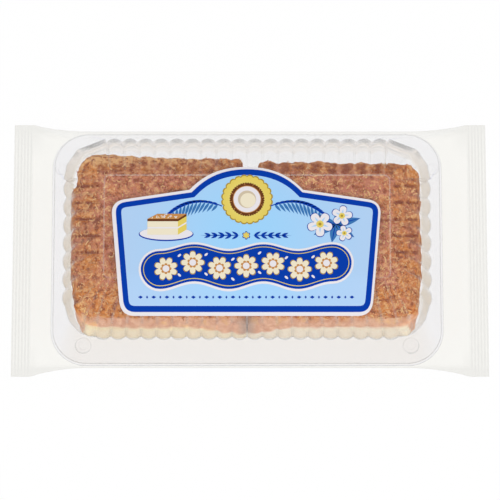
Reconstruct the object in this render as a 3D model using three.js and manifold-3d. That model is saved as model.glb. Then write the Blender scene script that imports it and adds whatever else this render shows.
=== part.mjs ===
// Coconut sponge cake in its retail pack: two square slabs of sponge with a browned coconut
// crust, side by side in a clear fluted clamshell (tray and lid), wrapped in clear film that
// is crimped flat at both ends, with a printed label over the top and front.
// Millimetres, +Z up, +X along the pack, -Y towards the front. The origin is on the floor,
// under the middle of the film.
import * as THREE from 'three';
import { ImprovedNoise } from 'three/addons/math/ImprovedNoise.js';
import { mergeVertices } from 'three/addons/utils/BufferGeometryUtils.js';
import Module from 'manifold-3d';

const { clamp, lerp } = THREE.MathUtils;
const wasm = await Module();
wasm.setup();

// Room left between neighbouring pieces
const PIECE_GAP = 0.3;

// Clamshell: flange, dome and tray. It lies a little left of the film's middle.
const PACK_X = -1.9;
const SHELL_WALL = 0.6;
const FLANGE = { length: 252.4, width: 155, radius: 23.5 };
const FLANGE_Y = 0.7;
const FLANGE_TOP = 15.4;
const DOME_Y = 7.2;
const DOME_BASE = { length: 237.4, width: 134.6, radius: 24.4, lean: 3 };
const SHOULDER = { length: 224.4, width: 116.2, radius: 20, lean: 3 };
const SHOULDER_TOP = 33.8;
const SHOULDER_CROWN = 0.8;
const PANEL = { length: 183.4, width: 68.8, radius: 6, lean: 0 };
const PANEL_TOP = 47.4;
const PANEL_STEP = 0.8;
const TRAY_FLOOR = 1.5;
const TRAY_TAPER = 4;
const TRAY_FILLET = 3;

// Flutes: outward swells along the clamshell's walls, with flat facets round its corners. A facet ends
// at a turn from the long side, and swells over the grooves by a number of groove depths there.
const FLUTES = { front: 20, rear: 18, end: 7 };
const FLUTE_STEPS = 3;
const FLUTE_DEPTH = 1.9;
const FLUTE_DEPTH_ON_SHOULDER = 1.3;
const FRONT_FACETS = [
  { turn: 0.325, swell: -0.3 },
  { turn: 0.707, swell: -0.6 },
];
const REAR_FACETS = [
  { turn: 0.04, swell: 1 },
  { turn: 0.485, swell: 1 },
  { turn: 0.76, swell: 1 },
  { turn: 0.96, swell: 1 },
];

// Press studs that hold the lid shut, on the flange near its corners
const STUD_HEIGHT = 1.6;
const STUD_SIDES = 14;
const STUD_TAPER = 0.8;
const FRONT_STUD = { x: 105, y: -63.6, radius: 5.4 };
const REAR_STUD = { x: 120.3, y: 54, radius: 4 };

// Cakes: each slab's faces at a few heights, from the pack's middle, and its crust under the lid
const CAKE_GAP = 6;
const CAKE_CORNER = 19;
const CAKE_REAR = { left: 57, right: 53.5 };
const CAKE_FACES = [
  { z: 1.9, outer: 107, front: -50.8, rearIn: 1 },
  { z: 6.9, outer: 109.5, front: -53.6, rearIn: 0 },
  { z: 15.4, outer: 112.3, front: -56.6, rearIn: -0.5 },
  { z: 28, outer: 110.2, front: -49.8, rearIn: 0 },
];
const CAKE_SIDE_POINTS = 8;
const CAKE_CORNER_POINTS = 6;
const CRUST_RINGS = [1.5, 5, 10, 16, 24, 33, 43];
const CRUST_LID_GAP = 3.2;
const CRUST_SOFTNESS = 1.5;
const CRAG_SIZE = 7;
const FINE_CRAG_SIZE = 3;
const CRAG_HEIGHT = 0.7;

// Coconut: strands that lie half sunk in the crust, one to each cell of a grid
const STRAND = { length: 5.5, width: 1.4, thickness: 2 };
const STRAND_COLUMNS = 6;
const STRAND_MARGIN = 10;
const STRAND_JITTER = 0.6;
const STRAND_TILT = 0.2;
const STRAND_SEED = { left: 11, right: 23 };

// Film wrap: overall size, crimped end seals, wall, and its slack over the clamshell
const FILM_LENGTH = 306;
const FILM_WIDTH = 158.8;
const FILM_WALL = 0.4;
const FILM_SLACK = 1;
const FILM_SEAM_GAP = 0.4;
const FILM_PAST_PANEL = 5;
const FILM_SPREAD = 0.06;
const FLARE_STATIONS = 4;
const SEAL_WIDTH = 168.6;
const SEAL_LENGTH = 12.5;
const SEAL_HALF_THICKNESS = 0.6;
const SEAL_HEIGHT = FLANGE_TOP - SHELL_WALL / 2;
const SEAL_INNER = FILM_LENGTH / 2 - SEAL_LENGTH;
const CRIMP_RIDGES = 5;
const CRIMP_HEIGHT = 0.5;

// Label: flat-bottomed, a little wider at the head, with an arched crest
const LABEL_X = -2.4;
const LABEL_THICKNESS = 0.3;
const LABEL_FOOT = { halfWidth: 80, y: -49.5 };
const LABEL_HEAD = { halfWidth: 86.4, y: 23.2 };
const LABEL_CREST = { halfWidth: 36.3, y: 46.6, shoulder: 30.8, pull: 0.6 };
const LABEL_CORNER = 8;
const LABEL_CURVE_STEPS = 6;

// Finishes
const CLEAR = { roughness: 0.08, transparent: true, opacity: 0.25 };
const BAKED = { roughness: 0.85 };
const PRINTED = { roughness: 0.35 };

const noise = new ImprovedNoise();

/** Repeatable random numbers from 0 to 1, by a linear congruential rule. */
function seededRandom(seed) {
  const range = 2 ** 32;
  let state = seed;
  return () => {
    state = (state * 1664525 + 1013904223) % range;
    return state / range;
  };
}

/** A geometry from points and the triangles between them. */
function meshOf(points, triangles) {
  const geometry = new THREE.BufferGeometry();
  const positions = points.flatMap((point) => point.toArray());
  geometry.setAttribute('position', new THREE.Float32BufferAttribute(positions, 3));
  geometry.setIndex(triangles.flat());
  return geometry;
}

/** The two triangles of a four-cornered face. */
function quad(a, b, c, d) {
  return [[a, b, c], [a, c, d]];
}

/** The point in the middle of others. */
function middleOf(points) {
  const sum = points.reduce((total, point) => total.add(point), new THREE.Vector3());
  return sum.divideScalar(points.length);
}

/** A solid skinned over rings of equally many points, closed by a fan at each end. */
function loft(rings) {
  const count = rings[0].length;
  const last = (rings.length - 1) * count;
  const points = [...rings.flat(), middleOf(rings[0]), middleOf(rings.at(-1))];
  const triangles = [];
  for (let i = 0; i < count; i++) {
    const next = (i + 1) % count;
    for (let row = 0; row < last; row += count) {
      triangles.push(...quad(row + i, row + next, row + count + next, row + count + i));
    }
    triangles.push([last + count, next, i]);
    triangles.push([last + count + 1, last + i, last + next]);
  }
  return meshOf(points, triangles);
}

/** A sheet between an outer and an inner grid of points, closed along its four edges. */
function sheet(outer, inner) {
  const endRow = outer.length - 1;
  const endColumn = outer[0].length - 1;
  const out = (row, column) => row * (endColumn + 1) + column;
  const into = (row, column) => out(outer.length + row, column);
  const triangles = [];
  for (let row = 0; row < endRow; row++) {
    const next = row + 1;
    for (let column = 0; column < endColumn; column++) {
      const side = column + 1;
      triangles.push(...quad(out(row, column), out(row, side), out(next, side), out(next, column)));
      triangles.push(...quad(into(row, column), into(next, column), into(next, side), into(row, side)));
    }
    triangles.push(...quad(out(row, 0), out(next, 0), into(next, 0), into(row, 0)));
    const outEnd = out(row, endColumn);
    const intoEnd = into(row, endColumn);
    triangles.push(...quad(outEnd, intoEnd, into(next, endColumn), out(next, endColumn)));
  }
  for (let column = 0; column < endColumn; column++) {
    const side = column + 1;
    triangles.push(...quad(out(0, column), into(0, column), into(0, side), out(0, side)));
    triangles.push(...quad(out(endRow, column), out(endRow, side), into(endRow, side), into(endRow, column)));
  }
  return meshOf([...outer.flat(), ...inner.flat()], triangles);
}

/** A geometry as a solid that can be joined and cut. */
function toSolid(geometry) {
  const bare = geometry.clone();
  bare.deleteAttribute('normal');
  bare.deleteAttribute('uv');
  const merged = mergeVertices(bare);
  return new wasm.Manifold(new wasm.Mesh({
    numProp: 3,
    vertProperties: new Float32Array(merged.attributes.position.array),
    triVerts: new Uint32Array(merged.index.array),
  }));
}

/** A joined or cut solid as a geometry. */
function toGeometry(solid) {
  const { vertProperties, triVerts } = solid.getMesh();
  const geometry = new THREE.BufferGeometry();
  geometry.setAttribute('position', new THREE.BufferAttribute(vertProperties, 3));
  geometry.setIndex(new THREE.BufferAttribute(triVerts, 1));
  geometry.computeVertexNormals();
  return geometry;
}

/** Places round a rounded rectangle: the side, how far along it or round its corner, and the swell there. */
function outlinePlaces(flutes, steps, facetsOf) {
  const places = [];
  for (let side = 0; side < 4; side++) {
    const points = flutes[side] * steps;
    for (let i = 0; i < points; i++) {
      places.push({ side, along: i / points, turn: 0, swell: Math.sin(Math.PI * (i % steps) / steps) });
    }
    places.push({ side, along: 1, turn: 0, swell: 0 });
    for (const { turn, swell } of facetsOf(side)) {
      places.push({ side, along: 1, turn, swell });
    }
  }
  return places;
}

/** Whether a side ends in a front corner. The sides are the front, the right, the rear and the left. */
function endsInFront(side) {
  return side === 0 || side === 3;
}

/** The facets of the clamshell's corner that a side ends in, in the order of the outline. */
function clamshellFacets(side) {
  const facets = endsInFront(side) ? FRONT_FACETS : REAR_FACETS;
  if (side % 2 === 0) {
    return facets;
  }
  return facets.map(({ turn, swell }) => ({ turn: 1 - turn, swell })).reverse();
}

/** Even points round a slab's corner. */
function cakeFacets() {
  const facets = [];
  for (let i = 1; i < CAKE_CORNER_POINTS; i++) {
    facets.push({ turn: i / CAKE_CORNER_POINTS, swell: 0 });
  }
  return facets;
}

const FLUTES_ROUND = [FLUTES.front, FLUTES.end, FLUTES.rear, FLUTES.end];
const FLUTED = outlinePlaces(FLUTES_ROUND, FLUTE_STEPS, clamshellFacets);
const PLAIN = outlinePlaces(Array(4).fill(CAKE_SIDE_POINTS), 1, cakeFacets);

/** The direction at a number of quarter turns from -Y. */
function quarterTurn(turns) {
  const angle = (turns - 1) * Math.PI / 2;
  return new THREE.Vector2(Math.cos(angle), Math.sin(angle));
}

/** One level ring of a rounded rectangle: its grooves set in, its front corners tighter by the lean. */
function ring(places, { length, width, radius, lean = 0, x = 0, y = 0, z, flute = 0 }) {
  const cornerAfter = (side) => (endsInFront(side) ? radius - lean : radius + lean);
  return places.map(({ side, along, turn, swell }) => {
    const [run, reach] = side % 2 === 0 ? [length, width] : [width, length];
    const start = cornerAfter((side + 3) % 4);
    const end = cornerAfter(side);
    const point = quarterTurn(side).multiplyScalar(reach / 2 - end);
    point.addScaledVector(quarterTurn(side + 1), lerp(start - run / 2, run / 2 - end, along));
    point.addScaledVector(quarterTurn(side + turn), end - flute * (1 - swell));
    return new THREE.Vector3(x + point.x, y + point.y, z);
  });
}

/** The size of a ring drawn in by a distance on every side. */
function inset(size, distance) {
  return {
    ...size,
    length: size.length - 2 * distance,
    width: size.width - 2 * distance,
    radius: Math.max(size.radius - distance, 1),
  };
}

/** The size halfway between two rings. */
function between(low, high) {
  const half = (key) => (low[key] + high[key]) / 2;
  return { length: half('length'), width: half('width'), radius: half('radius'), lean: half('lean') };
}

/** One fluted ring of the clamshell's dome or tray. */
function domeRing(size, z, flute) {
  return ring(FLUTED, { ...size, x: PACK_X, y: DOME_Y, z, flute });
}

/** One ring of the clamshell's flat flange. */
function flangeRing(z) {
  return ring(FLUTED, { ...FLANGE, x: PACK_X, y: FLANGE_Y, z });
}

/** The dome's skin from the panel's foot down to the flange, drawn in by a wall distance. */
function domeSkin(wall, footHeight) {
  const panelFoot = PANEL_TOP - PANEL_STEP;
  const middleHeight = (SHOULDER_TOP + panelFoot) / 2 + SHOULDER_CROWN;
  return [
    domeRing(inset(PANEL, wall), panelFoot - wall, 0),
    domeRing(inset(between(SHOULDER, PANEL), wall), middleHeight - wall, FLUTE_DEPTH_ON_SHOULDER),
    domeRing(inset(SHOULDER, wall), SHOULDER_TOP - wall, FLUTE_DEPTH),
    domeRing(inset(DOME_BASE, wall), footHeight, FLUTE_DEPTH),
  ];
}

/** One low round stud, sunk half a wall into the flange. */
function makeStud({ x, y, radius }, side) {
  const sunk = SHELL_WALL / 2;
  const height = STUD_HEIGHT + sunk;
  const stud = new THREE.CylinderGeometry(radius * STUD_TAPER, radius, height, STUD_SIDES);
  stud.rotateX(Math.PI / 2);
  stud.translate(PACK_X + side * x, y, FLANGE_TOP - sunk + height / 2);
  return stud;
}

/** The clear lid: fluted dome with a raised panel, flat flange and the press studs that stand on it. */
function makeLid() {
  const flangeBottom = FLANGE_TOP - SHELL_WALL;
  const shell = loft([
    ...domeSkin(SHELL_WALL, flangeBottom),
    flangeRing(flangeBottom),
    flangeRing(FLANGE_TOP),
    ...domeSkin(0, FLANGE_TOP).reverse(),
    domeRing(inset(PANEL, PANEL_STEP), PANEL_TOP, 0),
  ]);
  let lid = toSolid(shell);
  for (const stud of [FRONT_STUD, REAR_STUD]) {
    for (const side of [-1, 1]) {
      lid = lid.add(toSolid(makeStud(stud, side)));
    }
  }
  return toGeometry(lid);
}

/** The tray's skin from the flange's mouth down to its floor. */
function traySkin(wall, mouthHeight, floorHeight) {
  const mouth = inset(DOME_BASE, wall);
  return [
    domeRing(mouth, mouthHeight, FLUTE_DEPTH),
    domeRing(inset(mouth, TRAY_TAPER), floorHeight + TRAY_FILLET, FLUTE_DEPTH),
    domeRing(inset(mouth, TRAY_TAPER + TRAY_FILLET), floorHeight, 0),
  ];
}

/** The clear tray: a shallow fluted dish with a flange under the lid's. */
function makeTray() {
  const flangeTop = FLANGE_TOP - SHELL_WALL - PIECE_GAP;
  const flangeBottom = flangeTop - SHELL_WALL;
  return loft([
    ...traySkin(0, flangeBottom, TRAY_FLOOR - SHELL_WALL).reverse(),
    flangeRing(flangeBottom),
    flangeRing(flangeTop),
    ...traySkin(SHELL_WALL, flangeTop, TRAY_FLOOR),
  ]);
}

/** Height of the domed crust, softly under the lid's panel and its sloping shoulders. */
function crustHeight(x, y) {
  const panelFoot = PANEL_TOP - PANEL_STEP;
  const under = (edge, panelEdge, place) => {
    const groove = edge - FLUTE_DEPTH;
    return SHOULDER_TOP + (panelFoot - SHOULDER_TOP) * (groove - place) / (groove - panelEdge);
  };
  const heights = [
    panelFoot,
    under(SHOULDER.length / 2, PANEL.length / 2, Math.abs(x - PACK_X)),
    under(SHOULDER.width / 2, PANEL.width / 2, Math.abs(y - DOME_Y)),
  ];
  const sum = heights.reduce((total, height) => total + Math.exp(-height / CRUST_SOFTNESS), 0);
  return -CRUST_SOFTNESS * Math.log(sum) - CRUST_LID_GAP;
}

/** Height of the crust with its uneven crags, half as high again in finer ones. */
function craggyHeight(x, y) {
  const crag = (size, layer) => noise.noise(x / size, y / size, layer);
  return crustHeight(x, y) + CRAG_HEIGHT * (crag(CRAG_SIZE, 0.5) + crag(FINE_CRAG_SIZE, 7.5) / 2);
}

/** A slab's plan at one height. */
function cakePlan(hand, rear, { z, outer, front, rearIn }) {
  const inner = CAKE_GAP / 2;
  const back = rear - rearIn;
  return {
    length: outer - inner,
    width: back - front,
    radius: CAKE_CORNER,
    x: PACK_X + hand * (outer + inner) / 2,
    y: (back + front) / 2,
    z,
  };
}

/** Coconut strands spread evenly over a slab's crust, each turned at random. */
function makeStrands({ x, y, length, width }, seed) {
  const random = seededRandom(seed);
  const cell = (length - 2 * STRAND_MARGIN) / STRAND_COLUMNS;
  const rows = Math.floor((width - 2 * STRAND_MARGIN) / cell);
  const place = (index, count) => (index + 0.5 + STRAND_JITTER * (random() - 0.5) - count / 2) * cell;
  const strands = [];
  for (let column = 0; column < STRAND_COLUMNS; column++) {
    for (let row = 0; row < rows; row++) {
      const placeX = x + place(column, STRAND_COLUMNS);
      const placeY = y + place(row, rows);
      const strand = new THREE.BoxGeometry(STRAND.length, STRAND.width, STRAND.thickness);
      strand.rotateY(STRAND_TILT * (random() - 0.5));
      strand.rotateZ(Math.PI * random());
      strand.translate(placeX, placeY, craggyHeight(placeX, placeY));
      strands.push(strand);
    }
  }
  return strands;
}

/** One slab of sponge with its craggy crust and the coconut strands fused to it. */
function makeCake(hand, rear, seed) {
  const plans = CAKE_FACES.map((faces) => cakePlan(hand, rear, faces));
  const sides = plans.map((plan) => ring(PLAIN, plan));
  const crust = CRUST_RINGS.map((distance) => {
    const points = ring(PLAIN, inset(plans.at(-1), distance));
    return points.map(({ x, y }) => new THREE.Vector3(x, y, craggyHeight(x, y)));
  });
  let cake = toSolid(loft([...sides, ...crust]));
  for (const strand of makeStrands(plans.at(-1), seed)) {
    cake = cake.add(toSolid(strand));
  }
  return toGeometry(cake);
}

/** How far the film's creases on one side lie from the middle, and how high above the seal. */
function filmCreases(side) {
  const across = (width) => side * DOME_Y + width / 2;
  return {
    floor: across(DOME_BASE.width) - TRAY_TAPER,
    edge: FILM_WIDTH / 2,
    shoulder: across(SHOULDER.width) + FILM_SLACK,
    shoulderRise: SHOULDER_TOP + FILM_SLACK - SEAL_HEIGHT,
    panel: across(PANEL.width) + FILM_SLACK,
    panelRise: PANEL_TOP + FILM_SLACK - SEAL_HEIGHT,
  };
}

/** One side of the film's outer line, from the seam below to the panel, at a share of its rise and drop. */
function filmSide(side, rise, drop, flare) {
  const { floor, edge, shoulder, shoulderRise, panel, panelRise } = filmCreases(side);
  const spread = (share) => Math.max(share, FILM_SPREAD);
  const slopeAt = (level) => {
    const past = (level - shoulderRise) / (panelRise - shoulderRise);
    return past < 0 ? lerp(edge, shoulder, level / shoulderRise) : lerp(shoulder, panel, past);
  };
  const above = (full) => SEAL_HEIGHT + full * rise + SEAL_HALF_THICKNESS * (1 - rise);
  const below = (SEAL_HEIGHT - SEAL_HALF_THICKNESS) * (1 - drop);
  const point = (y, z) => new THREE.Vector2(side * flare * y, z);
  return [
    new THREE.Vector2(side * FILM_SEAM_GAP / 2, below),
    point(lerp(edge, floor, spread(drop)), below),
    point(edge, SEAL_HEIGHT - SEAL_HALF_THICKNESS),
    point(edge, SEAL_HEIGHT + SEAL_HALF_THICKNESS),
    point(slopeAt(shoulderRise * spread(rise)), above(shoulderRise)),
    point(slopeAt(panelRise * spread(rise)), above(panelRise)),
  ];
}

/** The film's outer line across the pack at one place along it, flattening towards the seals. */
function filmSection(x) {
  const away = Math.abs(x - PACK_X);
  const sealAway = SEAL_INNER - PACK_X * Math.sign(x);
  const left = (reach) => clamp((sealAway - away) / (sealAway - reach), 0, 1);
  const rise = left(FILM_REACH.panel);
  const drop = left(FILM_REACH.floor);
  const flare = lerp(SEAL_WIDTH / FILM_WIDTH, 1, 1 - (1 - left(FILM_REACH.flange)) ** 2);
  return [...filmSide(1, rise, drop, flare), ...filmSide(-1, rise, drop, flare).reverse()];
}

// How far from the clamshell's middle the film keeps its full height, depth and width
const FILM_REACH = {
  panel: PANEL.length / 2 + FILM_PAST_PANEL,
  floor: DOME_BASE.length / 2 - TRAY_TAPER,
  flange: FLANGE.length / 2 - FLANGE.radius,
};

/** An open line moved to its left by a distance, with mitred corners. */
function offsetLine(points, distance) {
  const lefts = points.slice(1).map((point, i) => {
    const along = point.clone().sub(points[i]).normalize();
    return new THREE.Vector2(-along.y, along.x);
  });
  return points.map((point, i) => {
    const before = lefts[Math.max(i - 1, 0)];
    const after = lefts[Math.min(i, lefts.length - 1)];
    const mitre = before.clone().add(after);
    return point.clone().addScaledVector(mitre, 2 * distance / mitre.lengthSq());
  });
}

/** Stations along one half of the film: where it starts to fall, along the flare, and at each crimp. */
function filmStations(side) {
  const falls = Object.values(FILM_REACH).sort((a, b) => a - b).map((reach) => PACK_X * side + reach);
  const flares = [];
  for (let i = 1; i <= FLARE_STATIONS; i++) {
    flares.push(lerp(falls.at(-1), SEAL_INNER, i / FLARE_STATIONS));
  }
  const stations = [...falls, ...flares].map((away) => ({ x: side * away, ridge: 0 }));
  for (let i = 1; i <= 2 * CRIMP_RIDGES; i++) {
    const away = SEAL_INNER + SEAL_LENGTH * i / (2 * CRIMP_RIDGES);
    stations.push({ x: side * away, ridge: CRIMP_HEIGHT * (i % 2 === 0 ? -1 : 1) });
  }
  return stations;
}

/** The clear film: one sheet wrapped round the clamshell to a seam below, pressed flat at its ends. */
function makeFilm() {
  const stations = [...filmStations(-1).reverse(), ...filmStations(1)];
  const place = (line, { x, ridge }) => line.map(({ x: y, y: z }) => new THREE.Vector3(x, y, z + ridge));
  const outer = stations.map((station) => place(filmSection(station.x), station));
  const inner = stations.map((station) => place(offsetLine(filmSection(station.x), FILM_WALL), station));
  return sheet(outer, inner);
}

/** The label's outline as laid on the pack's plan. */
function labelOutline() {
  const { halfWidth: foot, y: bottom } = LABEL_FOOT;
  const { halfWidth: head, y: top } = LABEL_HEAD;
  const { halfWidth: crest, y: peak, shoulder, pull } = LABEL_CREST;
  const lean = (head - foot) * LABEL_CORNER / (top - bottom);
  const rise = (shoulder - top) * LABEL_CORNER / (head - crest);
  const shape = new THREE.Shape();
  shape.moveTo(-foot + LABEL_CORNER, bottom);
  shape.lineTo(foot - LABEL_CORNER, bottom);
  shape.quadraticCurveTo(foot, bottom, foot + lean, bottom + LABEL_CORNER);
  shape.lineTo(head - lean, top - LABEL_CORNER);
  shape.quadraticCurveTo(head, top, head - LABEL_CORNER, top + rise);
  shape.lineTo(crest, shoulder);
  shape.quadraticCurveTo(pull * crest, peak, 0, peak);
  shape.quadraticCurveTo(-pull * crest, peak, -crest, shoulder);
  shape.lineTo(-head + LABEL_CORNER, top + rise);
  shape.quadraticCurveTo(-head, top, -head + lean, top - LABEL_CORNER);
  shape.lineTo(-foot - lean, bottom + LABEL_CORNER);
  shape.quadraticCurveTo(-foot, bottom, -foot + LABEL_CORNER, bottom);
  return shape;
}

/** The label: its outline cut from a thin layer that follows the film over panel and shoulders. */
function makeLabel() {
  const film = filmSection(PACK_X).slice(3, -3);
  const low = offsetLine(film, -PIECE_GAP);
  const high = offsetLine(film, -PIECE_GAP - LABEL_THICKNESS);
  const layer = new THREE.ExtrudeGeometry(new THREE.Shape([...low, ...high.reverse()]), {
    depth: 2 * LABEL_HEAD.halfWidth + LABEL_CORNER,
    bevelEnabled: false,
  });
  const across = new THREE.Vector3(0, 1, 0);
  const up = new THREE.Vector3(0, 0, 1);
  const along = new THREE.Vector3(1, 0, 0);
  layer.applyMatrix4(new THREE.Matrix4().makeBasis(across, up, along));
  layer.translate(LABEL_X - LABEL_HEAD.halfWidth - LABEL_CORNER / 2, 0, 0);
  const outline = new THREE.ExtrudeGeometry(labelOutline(), {
    depth: PANEL_TOP,
    bevelEnabled: false,
    curveSegments: LABEL_CURVE_STEPS,
  });
  outline.translate(LABEL_X, 0, FLANGE_TOP);
  return toGeometry(toSolid(layer).intersect(toSolid(outline)));
}

/** A named piece with its finish. */
function piece(name, geometry, colour, finish) {
  const material = new THREE.MeshStandardMaterial({ color: colour, metalness: 0, ...finish });
  const mesh = new THREE.Mesh(geometry, material);
  mesh.name = name;
  return mesh;
}

const pack = new THREE.Group();
pack.add(
  piece('film', makeFilm(), 0xf6f4ec, CLEAR),
  piece('lid', makeLid(), 0xf2f2f6, CLEAR),
  piece('tray', makeTray(), 0xf2f2f6, CLEAR),
  piece('cake_left', makeCake(-1, CAKE_REAR.left, STRAND_SEED.left), 0xb87b57, BAKED),
  piece('cake_right', makeCake(1, CAKE_REAR.right, STRAND_SEED.right), 0xb87b57, BAKED),
  piece('label', makeLabel(), 0xa9cdf0, PRINTED),
);

export default pack;
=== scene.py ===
"""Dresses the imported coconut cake: two browned slabs in a clear fluted clamshell, film wrapped and labelled.

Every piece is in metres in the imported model's own frame: +X along the pack, -Y to its front, +Z up.
"""

import logging
import math
from collections.abc import Sequence
from dataclasses import astuple, dataclass, replace
from enum import Enum

import bmesh
import bpy
import numpy as np
from bmesh.types import BMEdge, BMesh, BMLayerItem, BMVert
from bpy.types import Material, Mesh, Node, NodeTree
from bpy.types import NodeSocket as Socket
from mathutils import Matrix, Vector, noise


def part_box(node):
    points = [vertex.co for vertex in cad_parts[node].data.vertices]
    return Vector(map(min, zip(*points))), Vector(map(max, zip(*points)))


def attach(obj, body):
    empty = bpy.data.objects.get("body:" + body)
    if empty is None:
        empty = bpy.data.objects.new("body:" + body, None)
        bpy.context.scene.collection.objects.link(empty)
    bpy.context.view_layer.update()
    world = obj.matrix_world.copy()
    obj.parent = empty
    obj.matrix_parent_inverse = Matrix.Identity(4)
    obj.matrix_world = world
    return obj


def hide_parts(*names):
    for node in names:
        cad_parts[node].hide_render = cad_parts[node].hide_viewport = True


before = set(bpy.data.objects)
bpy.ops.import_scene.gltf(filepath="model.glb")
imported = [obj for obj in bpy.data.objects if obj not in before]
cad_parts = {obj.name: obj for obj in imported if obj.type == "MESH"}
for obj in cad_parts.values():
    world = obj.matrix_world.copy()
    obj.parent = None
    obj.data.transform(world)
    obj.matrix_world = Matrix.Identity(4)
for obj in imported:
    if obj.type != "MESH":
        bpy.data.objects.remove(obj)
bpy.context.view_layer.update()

MM = 0.001
SAME_POINT = 0.002 * MM
BODY = "root"
LOG = logging.getLogger("pack")

Array = np.ndarray
Value = float | Array
Pair = tuple[float, float]
Pairs = tuple[Pair, ...]
Triple = tuple[float, float, float]
Triples = tuple[Triple, ...]
Point = Pair
Colour = Triple
Rgba = tuple[float, float, float, float]


class Hand(Enum):
    """Which of the two slabs: the sign is its side of the pack's middle."""

    LEFT = -1
    RIGHT = 1

    @property
    def node(self) -> str:
        """The name of the slab's solid in the frame."""
        return f"cake_{self.name.lower()}"


class Side(Enum):
    """The clamshell's sides, numbered in the order of its outline."""

    FRONT = 0
    RIGHT = 1
    REAR = 2
    LEFT = 3


class Layer(Enum):
    """The label's printed layers, from the paper up."""

    PAPER = 0
    BORDER = 1
    FIELD = 2
    UNDER = 3
    MOTIF = 4
    DETAIL = 5
    ACCENT = 6
    SPARK = 7
    HEART = 8
    TIP = 9
    FLAKE = 10


class Ink(Enum):
    """The label's inks, each with its screen colour."""

    WHITE = (231, 227, 231)
    NAVY = (0, 58, 166)
    SKY = (176, 207, 241)
    YELLOW = (226, 204, 98)
    GOLD = (170, 142, 56)
    CREAM = (236, 226, 200)
    BROWN = (104, 58, 30)
    TAN = (196, 138, 78)
    LEAF = (58, 116, 178)
    SHELL = (206, 190, 164)

    @property
    def number(self) -> int:
        """The ink's place among the label's materials."""
        return list(Ink).index(self)


def lerp(start: Value, end: Value, share: Value) -> Value:
    """The value at a share of the way from start to end."""
    return start + (end - start) * share


def ramp(low: float, high: float, value: Value) -> Value:
    """A soft ramp from 0 at low to 1 at high."""
    share = np.clip((value - low) / (high - low), 0, 1)
    return share * share * (3 - 2 * share)


def rough(points: Array, size: float, layer: float = 0.0) -> Array:
    """Soft random relief from -1 to 1 at points.

    Args:
        points: Rows of two or three coordinates in metres.
        size: The width of one bump in metres.
        layer: A different number gives a different relief.

    Returns:
        One value for each row.
    """
    deep = np.pad(points, ((0, 0), (0, 3 - points.shape[1]))) / size + (0, 0, layer)
    return np.array([noise.noise(Vector(point)) for point in deep])


def layered(points: Array, reliefs: Triples) -> Array:
    """Soft random reliefs of several sizes on top of each other.

    Args:
        points: Rows of two or three coordinates in metres.
        reliefs: Each relief's width in millimetres, its height and its layer.

    Returns:
        One value for each row.
    """
    return sum(height * rough(points, width * MM, layer) for width, height, layer in reliefs)


def linear(colour: Colour) -> Rgba:
    """Turns a screen colour into the linear colour that shaders take.

    Args:
        colour: Its red, green and blue, from 0 to 255.

    Returns:
        The linear colour with a full alpha.
    """
    shares = [part / 255 for part in colour]
    curve = [part / 12.92 if part < 0.04045 else ((part + 0.055) / 1.055) ** 2.4 for part in shares]
    return (*curve, 1.0)


@dataclass
class Wiring:
    """Short calls to add and join shader nodes.

    Attributes:
        tree: The tree that they go in.
    """

    tree: NodeTree

    def add(self, kind: str, inputs: dict | None = None, **settings: object) -> Node:
        """Adds one node.

        Args:
            kind: The node's type, without ShaderNode where it starts so.
            inputs: For each socket's name or number, a value or the socket that feeds it.
            settings: The node's own properties.

        Returns:
            The new node.
        """
        node = self.tree.nodes.new(kind if kind.startswith("Node") else f"ShaderNode{kind}")
        for name, value in settings.items():
            setattr(node, name, value)
        for name, value in (inputs or {}).items():
            if isinstance(value, Socket):
                self.tree.links.new(value, node.inputs[name])
            else:
                node.inputs[name].default_value = value
        return node

    def math(self, operation: str, *values: float | Socket) -> Socket:
        """Adds one Math node and returns its result."""
        return self.add("Math", dict(enumerate(values)), operation=operation).outputs[0]

    def ramp(self, value: Socket, low: float, high: float) -> Socket:
        """A soft ramp from 0 where the value is low to 1 where it is high."""
        inputs = {0: value, 1: low, 2: high, 3: 0.0, 4: 1.0}
        return self.add("MapRange", inputs, interpolation_type="SMOOTHSTEP").outputs[0]

    def blend(self, factor: Socket, low: Rgba | Socket, high: Rgba | Socket) -> Socket:
        """Mixes two colours by a factor and returns the result."""
        mix = self.add("Mix", {0: factor, 6: low, 7: high}, data_type="RGBA")
        return mix.outputs[2]

    def times(self, first: Socket, second: float | Socket) -> Socket:
        """Multiplies two values."""
        return self.math("MULTIPLY", first, second)

    def coat(self, base: Rgba | Socket, coats: Sequence[tuple[Socket, Colour]]) -> Socket:
        """Lays screen colours over a base in turn.

        Args:
            base: The linear colour that lies lowest.
            coats: Each coat's mask and screen colour, from the lowest up.

        Returns:
            The mixed colour.
        """
        for mask, colour in coats:
            base = self.blend(mask, base, linear(colour))
        return base

    def place(self) -> Socket:
        """The piece's own coordinates, in metres."""
        return self.add("TexCoord").outputs["Object"]

    def attribute(self, name: str) -> Socket:
        """A value that the mesh carries at each point."""
        return self.add("Attribute", attribute_name=name).outputs["Fac"]


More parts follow.
